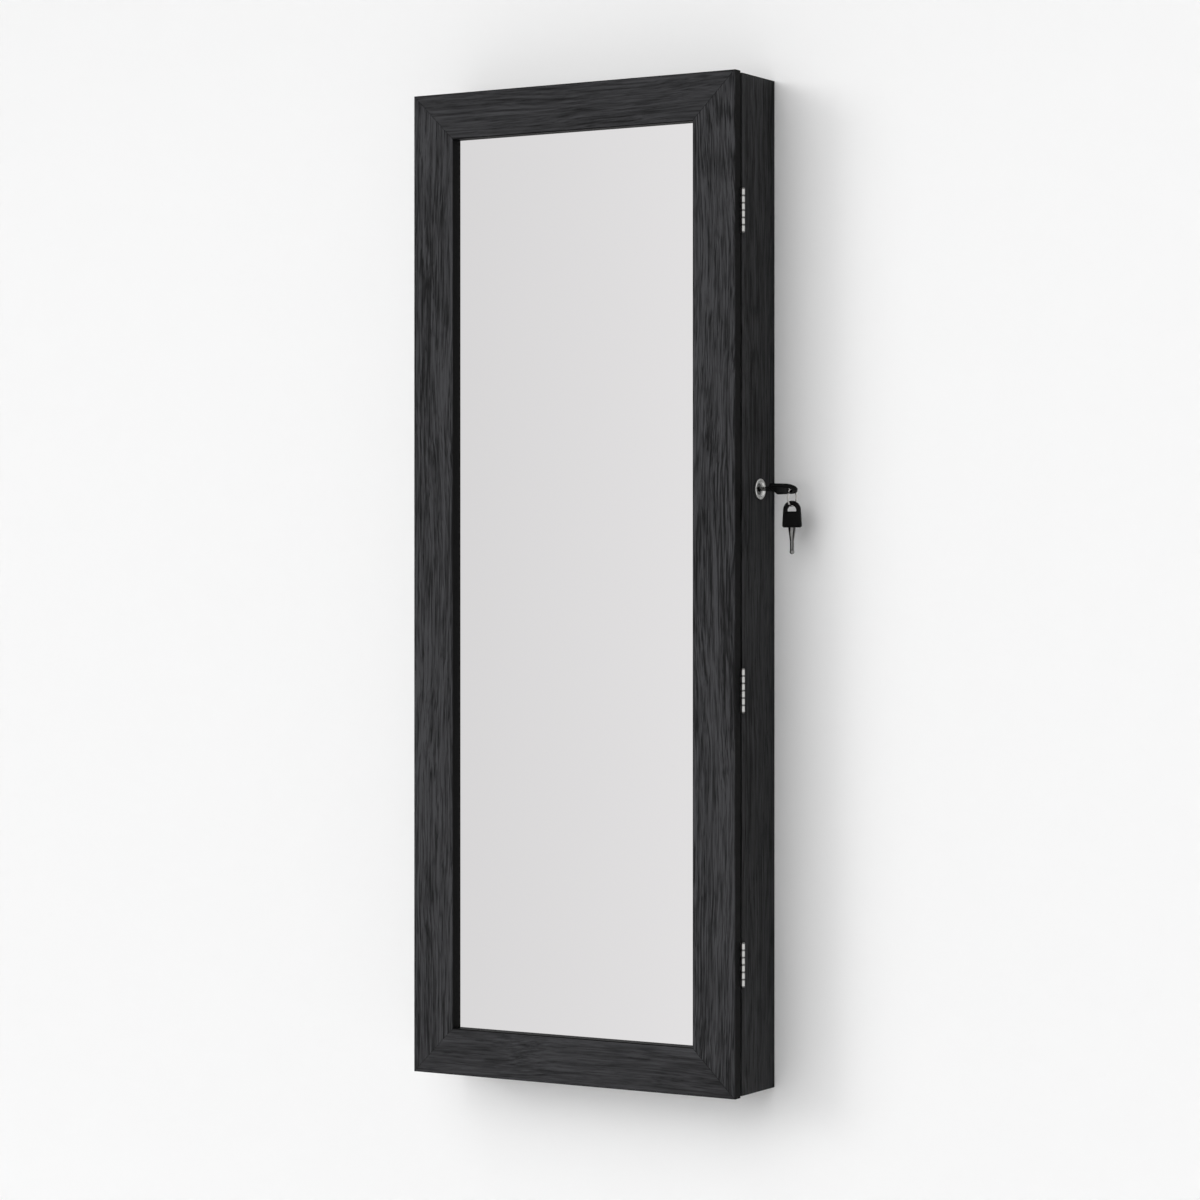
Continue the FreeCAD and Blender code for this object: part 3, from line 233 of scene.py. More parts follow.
def wide_sun(name, left, up, spread, strength):
    """Far, broad soft light, turned to the left of the front and raised. Angles are in degrees."""
    lamp = added(name, bpy.data.lights.new(name, "SUN"))
    lamp.data.angle = math.radians(spread)
    lamp.data.energy = strength
    lamp.visible_glossy = False
    lamp.rotation_euler = (math.pi / 2 - math.radians(up), 0, -math.radians(left))


wide_sun("main_softbox", left=10, up=20, spread=76, strength=2.00)
wide_sun("side_softbox", left=49, up=14, spread=26, strength=0.72)
wide_sun("rear_softbox", left=150, up=25, spread=60, strength=1.6)


# ---- Cabinet box -----------------------------------------------------------
# Side, top and bottom boards of thin fibreboard, faced with charcoal-stained
# ash veneer whose grain runs along each board. Dowels hold the corners.
BOARD_EDGE = 0.0004
BODY_DARK = (0.002, 0.002, 0.0021, 1)
BODY_LIGHT = (0.040, 0.040, 0.042, 1)
BODY_BOARDS = {"side_board_left": "Z", "side_board_right": "Z", "top_board": "X", "bottom_board": "X"}
WELD = 1e-6
FLAT_ANGLE = math.radians(0.5)
SHARP_ANGLE = math.radians(40)
FACING = 0.9                # a painted face lies this close to square on the paint's axis
BOARD_GRAIN_STEP = 0.31     # keeps the grain of one board from running on in the next
SWAY = 0.036
RIPPLE = 0.0018
GROWTH_RINGS = 190.0
PORE_DEPTH = 0.0002


def blank_material(name):
    """New material, with its flow and its main shader."""
    material = bpy.data.materials.new(name)
    material.use_nodes = True
    return material, Flow(material.node_tree), material.node_tree.nodes["Principled BSDF"]


def veneer(name, along, dark, light, shift, roughness, gloss, contrast=1.0):
    """Stained veneer: wandering bands, arched figure, broken streaks and fine open pores."""
    material, flow, shader = blank_material(name)
    turn = (0, 0, 0) if along == "Z" else (0, math.pi / 2, 0)
    lined = flow.node("ShaderNodeMapping", {}, {"Vector": flow.place(), "Location": shift, "Rotation": turn})

    def drawn(source, across, lengthwise, detail):
        scale = (across, across, lengthwise)
        return flow.node("ShaderNodeMapping", {}, {"Vector": source, "Scale": scale}).noise(1.0, detail)

    sway = drawn(lined, across=13, lengthwise=2.3, detail=2.5)
    ripple = drawn(lined, across=45, lengthwise=17, detail=2.0)
    drift = SWAY * (sway - 0.5) + RIPPLE * (ripple - 0.5)
    aside = flow.node("ShaderNodeCombineXYZ", {}, {"X": drift, "Y": drift})
    bent = flow.node("ShaderNodeVectorMath", {"operation": "ADD"}, {0: lined, 1: aside})
    growth = drawn(bent, across=11, lengthwise=1.3, detail=1.5)
    arch = flow.math("SINE", growth * GROWTH_RINGS, 0.0) * 0.5 + 0.5
    figure = arch * arch * drawn(lined, across=17, lengthwise=3.1, detail=1.0).stretched(0.40, 0.60)
    bands = drawn(bent, across=75, lengthwise=2.6, detail=2.0)
    streaks = drawn(bent, across=460, lengthwise=7.5, detail=4.0)
    flecks = drawn(bent, across=680, lengthwise=26, detail=2.0)
    pores = drawn(bent, across=1150, lengthwise=60, detail=2.0).stretched(0.54, 0.66)
    light_wood = 0.85 * (bands - 0.5) + 1.65 * (streaks - 0.5) + 1.5 * (flecks - 0.5)
    tone = 0.52 + contrast * (light_wood + 0.08 - 0.30 * figure - 0.24 * pores)
    flow.feed(shader.inputs["Base Color"], tone.clamped().blend(dark, light))
    flow.feed(shader.inputs["Roughness"], roughness + 0.15 * pores + 0.2 * (streaks - 0.5))
    shader.inputs["Specular IOR Level"].default_value = gloss
    (0.5 * streaks + 0.3 * flecks - 0.15 * figure - 0.7 * pores).emboss(shader, 0.35, PORE_DEPTH)
    return material


def finished(work, name, body, nodes, slot, *materials):
    """Close a mesh in the making and hang it on a body, in place of CAD nodes."""
    bmesh.ops.recalc_face_normals(work, faces=work.faces)
    for face in work.faces:
        face.smooth = True
    for edge in work.edges:
        edge.smooth = len(edge.link_faces) != 2 or edge.calc_face_angle() < SHARP_ANGLE
    mesh = bpy.data.meshes.new(name)
    work.to_mesh(mesh)
    work.free()
    for material in materials:
        mesh.materials.append(material)
    piece = added(name, mesh)
    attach(piece, body)
    for node in nodes:
        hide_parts(node)
    return piece


def eased(node, body, slot, edge, material, paint=None, painted_axis=None):
    """The node's own shape with its sharp edges taken off. Paint covers the faces on one axis and, as painted
    shade, the eased edges.
    """
    work = bmesh.new()
    work.from_mesh(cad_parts[node].data)
    bmesh.ops.remove_doubles(work, verts=work.verts, dist=WELD)
    bmesh.ops.dissolve_limit(work, angle_limit=FLAT_ANGLE, verts=work.verts, edges=work.edges)
    materials = [material] if paint is None else [material, paint]
    for face in work.faces:
        covered = paint is not None and abs(face.normal.dot(painted_axis)) > FACING
        face.material_index = int(covered)
    piece = finished(work, node + "_eased", body, [node], slot, *materials)
    ease = piece.modifiers.new("eased_edges", "BEVEL")
    ease.width = edge
    ease.segments = 2
    ease.limit_method = "ANGLE"
    ease.angle_limit = SHARP_ANGLE
    ease.harden_normals = True
    # The bevel faces take the paint: painted shade along the eased edges and in the mitre grooves.
    if paint is not None:
        ease.material = 1
    return piece


for number, (node, along) in enumerate(BODY_BOARDS.items()):
    shift = (BOARD_GRAIN_STEP * number, 0.17, 0.4)
    board_face = veneer("veneer_" + node, along, BODY_DARK, BODY_LIGHT, shift, roughness=0.5, gloss=0.05)
    eased(node, "cabinet", "body_wood", BOARD_EDGE, board_face)


# ---- Back board, hanging rails and dowels ----------------------------------
# A hardboard back lies in grooves. Two raw pine rails behind it take the wall
# screws, and pine dowels are glued into the corners.
PINE_DARK = (0.40, 0.25, 0.125, 1)
PINE_LIGHT = (0.62, 0.45, 0.26, 1)
HARDBOARD_DARK = (0.115, 0.062, 0.034, 1)
HARDBOARD_LIGHT = (0.215, 0.125, 0.070, 1)
RAIL_EDGE = 0.0006
PANEL_EDGE = 0.0002
FIBRE_DEPTH = 0.0002


def hardboard():
    """Pressed brown fibre, speckled and slightly rough."""
    material, flow, shader = blank_material("hardboard")
    fibre = flow.place().noise(900.0, 4.0)
    cloud = flow.place().noise(14.0, 3.0)
    tone = (fibre * 0.8 + cloud * 0.5 - 0.15).clamped()
    flow.feed(shader.inputs["Base Color"], tone.blend(HARDBOARD_DARK, HARDBOARD_LIGHT))
    flow.feed(shader.inputs["Roughness"], 0.62 + 0.2 * fibre)
    fibre.emboss(shader, 0.3, FIBRE_DEPTH)
    return material


pine = veneer("pine", "X", PINE_DARK, PINE_LIGHT, (0.2, 0.1, 0.3), roughness=0.6, gloss=0.3)
pine_upright = veneer("pine_upright", "Z", PINE_DARK, PINE_LIGHT, (0.5, 0.2, 0.1), roughness=0.6, gloss=0.3)
pressed_board = hardboard()
for node in ("hanging_rail_top", "hanging_rail_bottom"):
    eased(node, "cabinet", "plain_wood", RAIL_EDGE, pine)
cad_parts["corner_dowels"].material_slots[0].material = pine
eased("back_board", "cabinet", "back_hardboard", PANEL_EDGE, pressed_board)


# ---- Back lining -----------------------------------------------------------
# Thin board covered in short-pile black velvet, glued over the inside of the
# back. The pile lies in soft patches and its edges are folded round.
VELVET_DARK = (0.0045, 0.0045, 0.0050, 1)
VELVET_LIGHT = (0.016, 0.016, 0.0175, 1)
VELVET_FOLD = 0.0006
PILE_DEPTH = 0.0003


def velvet(name, patch_scale):
    """Short pile: brushed patches, fine fibre bump and a soft sheen."""
    material, flow, shader = blank_material(name)
    patch = flow.node("ShaderNodeTexNoise", {}, {"Vector": flow.place(), "Scale": patch_scale, "Detail": 3.0,
                                                "Distortion": 0.6}, "Fac")
    pile = flow.place().noise(2600.0, 2.0)
    tone = ((patch - 0.5) * 1.8 + (pile - 0.5) * 1.1 + 0.45).clamped()
    flow.feed(shader.inputs["Base Color"], tone.blend(VELVET_DARK, VELVET_LIGHT))
    shader.inputs["Roughness"].default_value = 0.95
    shader.inputs["Specular IOR Level"].default_value = 0.15
    shader.inputs["Sheen Weight"].default_value = 0.12
    shader.inputs["Sheen Roughness"].default_value = 0.35
    pile.emboss(shader, 0.6, PILE_DEPTH)
    return material


lining_velvet = velvet("lining_velvet", 7.0)
eased("back_lining", "cabinet", "velvet", VELVET_FOLD, lining_velvet)


# ---- Shelves, fences and pins ----------------------------------------------
# Black-stained loose shelves rest on nickel pins, four to a shelf. A low fence
# is glued along each front edge and across the cabinet's floor.
INNER_DARK = (0.0065, 0.0065, 0.0070, 1)
INNER_LIGHT = (0.0185, 0.0185, 0.0190, 1)
SHELF_EDGE = 0.0006
PIN_SIDES = 28
PIN_SEAT_ROUND = 0.0003
PIN_TIP_ROUND = 0.0007
SCRATCH_DEPTH = 0.00003


def metal(name, dark, light, roughness, streak=(1, 1, 1), fine=900.0):
    """Plated or brushed metal: faint blotches, streaks along one way and light wear."""
    material, flow, shader = blank_material(name)
    lines = flow.node("ShaderNodeMapping", {}, {"Vector": flow.place(), "Scale": streak}).noise(fine, 3.0)
    cloud = flow.place().noise(160.0, 2.0)
    tone = (0.6 * lines + 0.6 * cloud - 0.1).clamped()
    flow.feed(shader.inputs["Base Color"], tone.blend(dark, light))
    flow.feed(shader.inputs["Roughness"], roughness + 0.16 * (lines - 0.5) + 0.10 * (cloud - 0.5))
    shader.inputs["Metallic"].default_value = 1.0
    lines.emboss(shader, 0.4, SCRATCH_DEPTH)
    return material


def islands(node):
    """Boxes round the separate solids of a CAD node, as pairs of corners."""
    work = bmesh.new()
    work.from_mesh(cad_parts[node].data)
    bmesh.ops.remove_doubles(work, verts=work.verts, dist=WELD)
    left = set(work.verts)
    boxes = []
    while left:
        reached = [left.pop()]
        for vert in reached:
            for edge in vert.link_edges:
                other = edge.other_vert(vert)
                if other in left:
                    left.discard(other)
                    reached.append(other)
        low = Vector([min(vert.co[axis] for vert in reached) for axis in range(3)])
        high = Vector([max(vert.co[axis] for vert in reached) for axis in range(3)])
        boxes.append((low, high))
    work.free()
    return sorted(boxes, key=lambda box: (round(box[0].z, 5), round(box[0].x, 5), box[0].y))


def lathe(work, profile, start, axis, sides, closed=False):
    """Turn a profile of (radius, height) about an axis. Radius 0 closes it on the axis."""
    spin = Vector(axis).to_track_quat("Z", "X").to_matrix()
    rings = []
    for radius, height in profile:
        count = sides if radius > 0 else 1
        rings.append([work.verts.new(Vector(start) + spin @ Vector(
            (radius * math.cos(math.tau * i / sides), radius * math.sin(math.tau * i / sides), height)))
            for i in range(count)])
    pairs = list(zip(rings, rings[1:]))
    if closed:
        pairs.append((rings[-1], rings[0]))
    for one, two in pairs:
        for i in range(sides):
            j = (i + 1) % sides
            corners = [one[i % len(one)], one[j % len(one)], two[j % len(two)], two[i % len(two)]]
            work.faces.new(list(dict.fromkeys(corners)))


def rounded(corners, steps=3):
    """Profile of (radius, height, corner radius) with its corners turned into arcs."""
    points = []
    for i, (x, y, r) in enumerate(corners):
        here = Vector((x, y))
        before = Vector(corners[i - 1][:2])
        after = Vector(corners[(i + 1) % len(corners)][:2])
        if r == 0:
            points.append((x, y))
            continue
        start = here + (before - here).normalized() * r
        end = here + (after - here).normalized() * r
        for step in range(steps + 1):
            t = step / steps
            bent = start * (1 - t) ** 2 + here * 2 * t * (1 - t) + end * t ** 2
            points.append((bent.x, bent.y))
    return points


inner_wood = veneer("inner_wood", "X", INNER_DARK, INNER_LIGHT, (0.7, 0.3, 0.2), roughness=0.5, gloss=0.35)
for level in ("upper", "middle", "lower"):
    eased("shelf_" + level, "cabinet", "inner_wood", SHELF_EDGE, inner_wood)
    eased("fence_" + level, "cabinet", "inner_wood", SHELF_EDGE, inner_wood)
eased("floor_fence", "cabinet", "inner_wood", SHELF_EDGE, inner_wood)

pin_nickel = metal("pin_nickel", (0.40, 0.39, 0.37, 1), (0.62, 0.61, 0.58, 1), 0.32)
pins = bmesh.new()
for low, high in islands("shelf_pins"):
    radius = (high.z - low.z) / 2
    inward = 1 if low.x < 0 else -1
    start = (low.x if inward > 0 else high.x, (low.y + high.y) / 2, (low.z + high.z) / 2)
    length = high.x - low.x
    corners = [(0, 0, 0), (radius, 0, PIN_SEAT_ROUND), (radius, length, PIN_TIP_ROUND), (0, length, 0)]
    lathe(pins, rounded(corners), start, (inward, 0, 0), PIN_SIDES)
finished(pins, "shelf_pins_turned", "cabinet", ["shelf_pins"], "screw_steel", pin_nickel)


# ---- Necklace rail and hooks -----------------------------------------------
# A black-stained rail across the top, with nine nickel cup hooks screwed into
# it. Each has a small collar against the wood and a rounded, upturned end.
NECKLACE_RAIL_EDGE = 0.0015
HOOK_SIDES = 14
HOOK_COLLAR = 0.0022
COLLAR_LENGTH = 0.0009
HOOK_BEND = 0.0045
HOOK_SEAT = 0.006           # length of shank in the wood
BEND_STEPS = 8
TIP_STEPS = 5
TIP_FLAT = 0.05             # share of the wire's radius left flat at the tip


def tube(work, spine, halves, sides):
    """Skin a line that lies across the X axis. Halves are its half widths in X and across."""
    rings = []
    last = len(spine) - 1
    for i, point in enumerate(spine):
        ahead = spine[i + 1] if i < last else point
        behind = spine[i - 1] if i > 0 else point
        normal = (ahead - behind).normalized().cross(Vector((1, 0, 0))).normalized()
        wide, tall = halves[i]
        side = Vector((wide, 0, 0))
        turns = [math.tau * step / sides for step in range(sides)]
        rings.append([work.verts.new(point + side * math.cos(turn) + normal * tall * math.sin(turn))
                      for turn in turns])
    for one, two in zip(rings, rings[1:]):
        for i in range(sides):
            j = (i + 1) % sides
            work.faces.new((one[i], one[j], two[j], two[i]))
    work.faces.new(rings[0])
    work.faces.new(rings[-1])


def plain_mesh(work, name):
    """Mesh of a unit that a node group repeats."""
    bmesh.ops.recalc_face_normals(work, faces=work.faces)
    mesh = bpy.data.meshes.new(name)
    work.to_mesh(mesh)
    work.free()
    return mesh


def repeated(name, unit, places, body, nodes, slot, material, turn=(0, 0, 0)):
    """Copies of a unit at several places, set out by a node group and kept as plain mesh."""
    group = bpy.data.node_groups.new(name + "_copies", "GeometryNodeTree")
    for label, kind in (("Places", "NodeSocketGeometry"), ("Unit", "NodeSocketObject"),
                        ("Turn", "NodeSocketRotation"), ("Finish", "NodeSocketMaterial")):
        group.interface.new_socket(label, in_out="INPUT", socket_type=kind)
    group.interface.new_socket("Copies", in_out="OUTPUT", socket_type="NodeSocketGeometry")
    enter = group.nodes.new("NodeGroupInput")
    fetch = group.nodes.new("GeometryNodeObjectInfo")
    spread = group.nodes.new("GeometryNodeInstanceOnPoints")
    real = group.nodes.new("GeometryNodeRealizeInstances")
    paint = group.nodes.new("GeometryNodeSetMaterial")
    leave = group.nodes.new("NodeGroupOutput")
    for start, end in ((enter.outputs["Places"], spread.inputs["Points"]),
                       (enter.outputs["Unit"], fetch.inputs["Object"]),
                       (fetch.outputs["Geometry"], spread.inputs["Instance"]),
                       (enter.outputs["Turn"], spread.inputs["Rotation"]),
                       (spread.outputs["Instances"], real.inputs["Geometry"]),
                       (real.outputs["Geometry"], paint.inputs["Geometry"]),
                       (enter.outputs["Finish"], paint.inputs["Material"]),
                       (paint.outputs["Geometry"], leave.inputs["Copies"])):
        group.links.new(start, end)
    points = bpy.data.meshes.new(name + "_places")
    points.from_pydata(places, [], [])
    carrier = added(name + "_carrier", points)
    source = added(name + "_unit", unit)
    setting = carrier.modifiers.new("copies", "NODES")
    setting.node_group = group
    sockets = {item.name: item.identifier for item in group.interface.items_tree if item.in_out == "INPUT"}
    setting[sockets["Unit"]] = source
    setting[sockets["Turn"]] = turn
    setting[sockets["Finish"]] = material
    solved = carrier.evaluated_get(bpy.context.evaluated_depsgraph_get())
    copies = bpy.data.meshes.new_from_object(solved)
    for helper in (carrier, source):
        bpy.data.objects.remove(helper)
    work = bmesh.new()
    work.from_mesh(copies)
    return finished(work, name, body, nodes, slot, material)


def cup_hook(low, high, out):
    """Spine and half widths of one hook, from the seat of its shank to its tip. Out is 1 or -1."""
    wire = (high.x - low.x) / 2
    reach = high.y - low.y
    rise = high.z - low.z
    spine = [Vector((0, -out * HOOK_SEAT, 0)), Vector((0, 0, 0)), Vector((0, 0, 0)),
             Vector((0, out * COLLAR_LENGTH, 0)), Vector((0, out * COLLAR_LENGTH, 0))]
    halves = [wire, wire, HOOK_COLLAR, HOOK_COLLAR, wire]
    knee = reach - HOOK_SEAT - HOOK_BEND - wire
    for step in range(BEND_STEPS + 1):
        turn = math.pi / 2 * step / BEND_STEPS
        spine.append(Vector((0, out * (knee + HOOK_BEND * math.sin(turn)), HOOK_BEND * (1 - math.cos(turn)))))
        halves.append(wire)
    tip = rise - 2 * wire
    for step in range(TIP_STEPS + 1):
        turn = math.pi / 2 * step / TIP_STEPS
        spine.append(Vector((0, out * (knee + HOOK_BEND), tip + wire * math.sin(turn))))
        halves.append(max(wire * math.cos(turn), wire * TIP_FLAT))
    return spine, [(half, half) for half in halves]


def hook_row(node, body, face_y, out):
    """A node's hooks, bent from round wire and set along the face of their rail."""
    hooks = islands(node)
    wire = (hooks[0][1].x - hooks[0][0].x) / 2
    unit = bmesh.new()
    tube(unit, *cup_hook(*hooks[0], out), HOOK_SIDES)
    places = [((low.x + high.x) / 2, face_y, low.z + wire) for low, high in hooks]
    repeated(node + "_bent", plain_mesh(unit, node + "_unit"), places,
             body, [node], "hook_nickel", hook_nickel)


hook_nickel = metal("hook_nickel", (0.46, 0.45, 0.43, 1), (0.66, 0.65, 0.62, 1), 0.22)
eased("necklace_rail", "cabinet", "inner_wood", NECKLACE_RAIL_EDGE, inner_wood)
rail_low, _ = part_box("necklace_rail")
hook_row("necklace_hooks", "cabinet", rail_low.y, -1)


# ---- Earring board ---------------------------------------------------------
# A slotted black board stands off the lining on two pine battens, so that
# earring backs fit behind it.
SLOT_EDGE = 0.0003
BATTEN_EDGE = 0.0004
eased("earring_board", "cabinet", "inner_wood", SLOT_EDGE, inner_wood)
eased("earring_battens", "cabinet", "plain_wood", BATTEN_EDGE, pine_upright)


# ---- Bracelet bar ----------------------------------------------------------
# A turned black-stained bar with a bead near each end, pushed into two cups
# that are glued to the side boards.
BAR_SIDES = 40
BEAD_RISE = 0.0012
BEAD_WIDTH = 0.006
BEAD_FROM_CUP = 0.008
BEAD_STEPS = 8
BAR_END = 0.94              # share of the bar's radius left at its chamfered ends
BAR_CHAMFER = 0.0003
CUP_EDGE = 0.001
bar_wood = veneer("bar_wood", "X", INNER_DARK, INNER_LIGHT, (0.15, 0.62, 0.44), roughness=0.38, gloss=0.5)
bar_low, bar_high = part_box("bracelet_bar")
bar_radius = (bar_high.z - bar_low.z) / 2
bar_length = bar_high.x - bar_low.x
cups = islands("bracelet_sockets")
cup_depth = cups[0][1].x - bar_low.x
bar_profile = [(0, 0), (bar_radius * BAR_END, 0), (bar_radius, BAR_CHAMFER)]
for bead in (cup_depth + BEAD_FROM_CUP, bar_length - cup_depth - BEAD_FROM_CUP - BEAD_WIDTH):
    for step in range(BEAD_STEPS + 1):
        share = step / BEAD_STEPS
        bar_profile.append((bar_radius + BEAD_RISE * math.sin(math.pi * share), bead + BEAD_WIDTH * share))
bar_profile += [(bar_radius, bar_length - BAR_CHAMFER), (bar_radius * BAR_END, bar_length), (0, bar_length)]
bar = bmesh.new()
lathe(bar, bar_profile, (bar_low.x, (bar_low.y + bar_high.y) / 2, (bar_low.z + bar_high.z) / 2),
      (1, 0, 0), BAR_SIDES)
finished(bar, "bracelet_bar_turned", "cabinet", ["bracelet_bar"], "bar_wood", bar_wood)
eased("bracelet_sockets", "cabinet", "inner_wood", CUP_EDGE, inner_wood)


# ---- Ring tray and its padded rolls ----------------------------------------
# Foam rolls in black velvet lie side by side in a shallow tray. Their covers
# are gathered at the ends and pucker a little along their length.
ROLL_SIDES = 28
ROLL_STATIONS = 96
ROLL_SWELL = 0.00022
ROLL_PUCKER = 0.00028
ROLL_PLEATS = 11
SWELL_WAVES = (31, 57)      # radians per metre along a roll
PUCKER_WAVES = (410, 230)
ROLL_DIMPLE = 0.0022
ROLL_DOME = 0.9             # length of the domed end, as a share of the radius
ROLL_FIT = 0.985            # room between neighbouring rolls
GATHER_REACH = 2.4          # how far the pleats run in from an end, in radii
TRAY_EDGE = 0.0006


def padded_roll(length, radius):
    """Roll along X about the origin: domed, gathered ends and an uneven, puckered skin."""
    work = bmesh.new()
    profile = []
    for station in range(ROLL_STATIONS + 1):
        place = -math.cos(math.pi * station / ROLL_STATIONS) * length / 2
        inset = length / 2 - abs(place)
        full = min(1.0, inset / (radius * ROLL_DOME))
        profile.append((radius * math.sqrt(max(0.0, 1 - (1 - full) ** 2)) * ROLL_FIT, place))
    profile[0] = (0, -length / 2 + ROLL_DIMPLE)
    profile[-1] = (0, length / 2 - ROLL_DIMPLE)
    lathe(work, profile, (0, 0, 0), (1, 0, 0), ROLL_SIDES)
    for vert in work.verts:
        x, y, z = vert.co
        turn = math.atan2(z, y)
        out = Vector((0, y, z))
        away = out.length
        if away < WELD:
            continue
        end = max(0.0, 1 - (length / 2 - abs(x)) / (GATHER_REACH * radius))
        swell = math.sin(SWELL_WAVES[0] * x + 1.3) * math.sin(SWELL_WAVES[1] * x) * ROLL_SWELL
        ripple = math.sin(PUCKER_WAVES[0] * x + 2 * math.sin(turn)) * math.sin(PUCKER_WAVES[1] * x + turn)
        pleat = math.cos(ROLL_PLEATS * turn) * end * ROLL_PUCKER * 2
        vert.co += out.normalized() * (swell + 0.5 * ROLL_PUCKER * ripple + pleat - ROLL_SWELL - ROLL_PUCKER)
    return plain_mesh(work, "padded_roll")


eased("ring_tray", "cabinet", "inner_wood", TRAY_EDGE, inner_wood)
rolls = islands("ring_rolls")
roll_low, roll_high = rolls[0]
ring_pad = repeated("ring_rolls_padded",
                    padded_roll(roll_high.x - roll_low.x, (roll_high.z - roll_low.z) / 2),
                    [(low + high) / 2 for low, high in rolls],
                    "cabinet", ["ring_rolls"], "roll_velvet", velvet("roll_velvet", 45.0))


# ---- Magnetic catch and bumpers --------------------------------------------
# A black plastic case screwed inside the left board holds a dark magnet.
# Two soft grey dots on the box's front edge take the closing door.
CASE_EDGE = 0.0005
MAGNET_EDGE = 0.0002
BUMPER_SIDES = 32
BUMPER_WALL = 0.35          # upright share of a bumper's height, below its dome
WALL_STEPS = 2
DOME_STEPS = 7


def plastic(name, dark, light, roughness, grain, depth, gloss=0.5):
    """Moulded plastic with a fine spark-eroded grain."""
    material, flow, shader = blank_material(name)
    grit = flow.place().noise(grain, 2.0)
    cloud = flow.place().noise(110.0, 2.0)
    flow.feed(shader.inputs["Base Color"], (0.5 * grit + 0.5 * cloud).clamped().blend(dark, light))
    flow.feed(shader.inputs["Roughness"], roughness + 0.12 * (grit - 0.5) + 0.12 * (cloud - 0.5))
    shader.inputs["Specular IOR Level"].default_value = gloss
    grit.emboss(shader, 0.3, depth)
    return material


case_plastic = plastic("case_plastic", (0.008, 0.008, 0.008, 1), (0.017, 0.017, 0.017, 1),
                       roughness=0.45, grain=3000.0, depth=0.00005)
rubber = plastic("bumper_rubber", (0.085, 0.085, 0.087, 1), (0.125, 0.125, 0.128, 1),
                 roughness=0.62, grain=2200.0, depth=0.00004)
magnet_iron = metal("magnet_iron", (0.055, 0.055, 0.058, 1), (0.11, 0.11, 0.115, 1), 0.5)
eased("catch_housing", "cabinet", "catch_plastic", CASE_EDGE, case_plastic)
eased("catch_magnet", "cabinet", "magnet_iron", MAGNET_EDGE, magnet_iron)
dots = bmesh.new()
for low, high in islands("door_bumpers"):
    radius = (high.x - low.x) / 2
    rise = high.y - low.y
    dome = [(0, 0)] + [(radius, rise * BUMPER_WALL * step / WALL_STEPS) for step in range(WALL_STEPS + 1)]
    dome += [(radius * math.cos(turn), rise * (BUMPER_WALL + (1 - BUMPER_WALL) * math.sin(turn)))
             for turn in (math.pi / 2 * step / DOME_STEPS for step in range(1, DOME_STEPS))]
    dome.append((0, rise))
    lathe(dots, dome, ((low.x + high.x) / 2, high.y, (low.z + high.z) / 2), (0, -1, 0), BUMPER_SIDES)
finished(dots, "door_bumpers_domed", "cabinet", ["door_bumpers"], "bumper_rubber", rubber)


# ---- Door frame ------------------------------------------------------------
# Four mitred members in charcoal-stained ash, the grain along each. The edges round
# the door's outside are painted black. The eased edges take the same black, which
# shows the mitres as fine lines of painted shade.
DOOR_DARK = (0.005, 0.005, 0.0054, 1)
DOOR_LIGHT = (0.049, 0.049, 0.0522, 1)
DOOR_CONTRAST = {"Z": 1.45, "X": 0.75}
DOOR_GRAIN_STEP = 0.43
MITRE_EASE = 0.00045
DOOR_MEMBERS = {"door_stile_left": "Z", "door_stile_right": "Z",
                "door_rail_top": "X", "door_rail_bottom": "X"}
edge_paint_and_shade = plastic("edge_paint_and_shade", (0.003, 0.003, 0.0031, 1), (0.005, 0.005, 0.0051, 1),
                     roughness=0.5, grain=900.0, depth=0.00008, gloss=0.04)
for number, (node, along) in enumerate(DOOR_MEMBERS.items()):
    shift = (DOOR_GRAIN_STEP * number + 0.05, 0.3, 0.7)
    member = veneer("veneer_" + node, along, DOOR_DARK, DOOR_LIGHT, shift,
                    roughness=0.5, gloss=0.12, contrast=DOOR_CONTRAST[along])
    outward = Vector((1, 0, 0)) if along == "Z" else Vector((0, 0, 1))
    eased(node, "door", "door_wood", MITRE_EASE, member, edge_paint_and_shade, outward)


# ---- Mirror and its backing ------------------------------------------------
# Silvered flat glass lies in the frame's rebate, with a hardboard panel
# behind it.
MIRROR_DARK = (0.775, 0.764, 0.769, 1)
MIRROR_LIGHT = (0.785, 0.774, 0.779, 1)
MIRROR_EDGE = 0.0008
BACKING_EDGE = 0.0003


def silvered():
    """Clear mirror with the faintest change of tone."""
    material, flow, shader = blank_material("silvered_glass")
    cloud = flow.place().noise(3.0, 2.0)
    flow.feed(shader.inputs["Base Color"], cloud.blend(MIRROR_DARK, MIRROR_LIGHT))
    flow.feed(shader.inputs["Roughness"], 0.012 + 0.006 * cloud)
    shader.inputs["Metallic"].default_value = 1.0
    return material


eased("mirror_glass", "door", "mirror_silver", MIRROR_EDGE, silvered())
eased("mirror_backing", "door", "back_hardboard", BACKING_EDGE, pressed_board)


# ---- Inside of the door ----------------------------------------------------
# A velvet-covered board is glued over the backing. A short rail on it holds
# seven hooks.
HOOK_RAIL_EDGE = 0.001
eased("door_lining", "door", "velvet", VELVET_FOLD, lining_velvet)
eased("door_hook_rail", "door", "inner_wood", HOOK_RAIL_EDGE, inner_wood)
_, door_rail_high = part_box("door_hook_rail")
hook_row("door_hooks", "door", door_rail_high.y, 1)


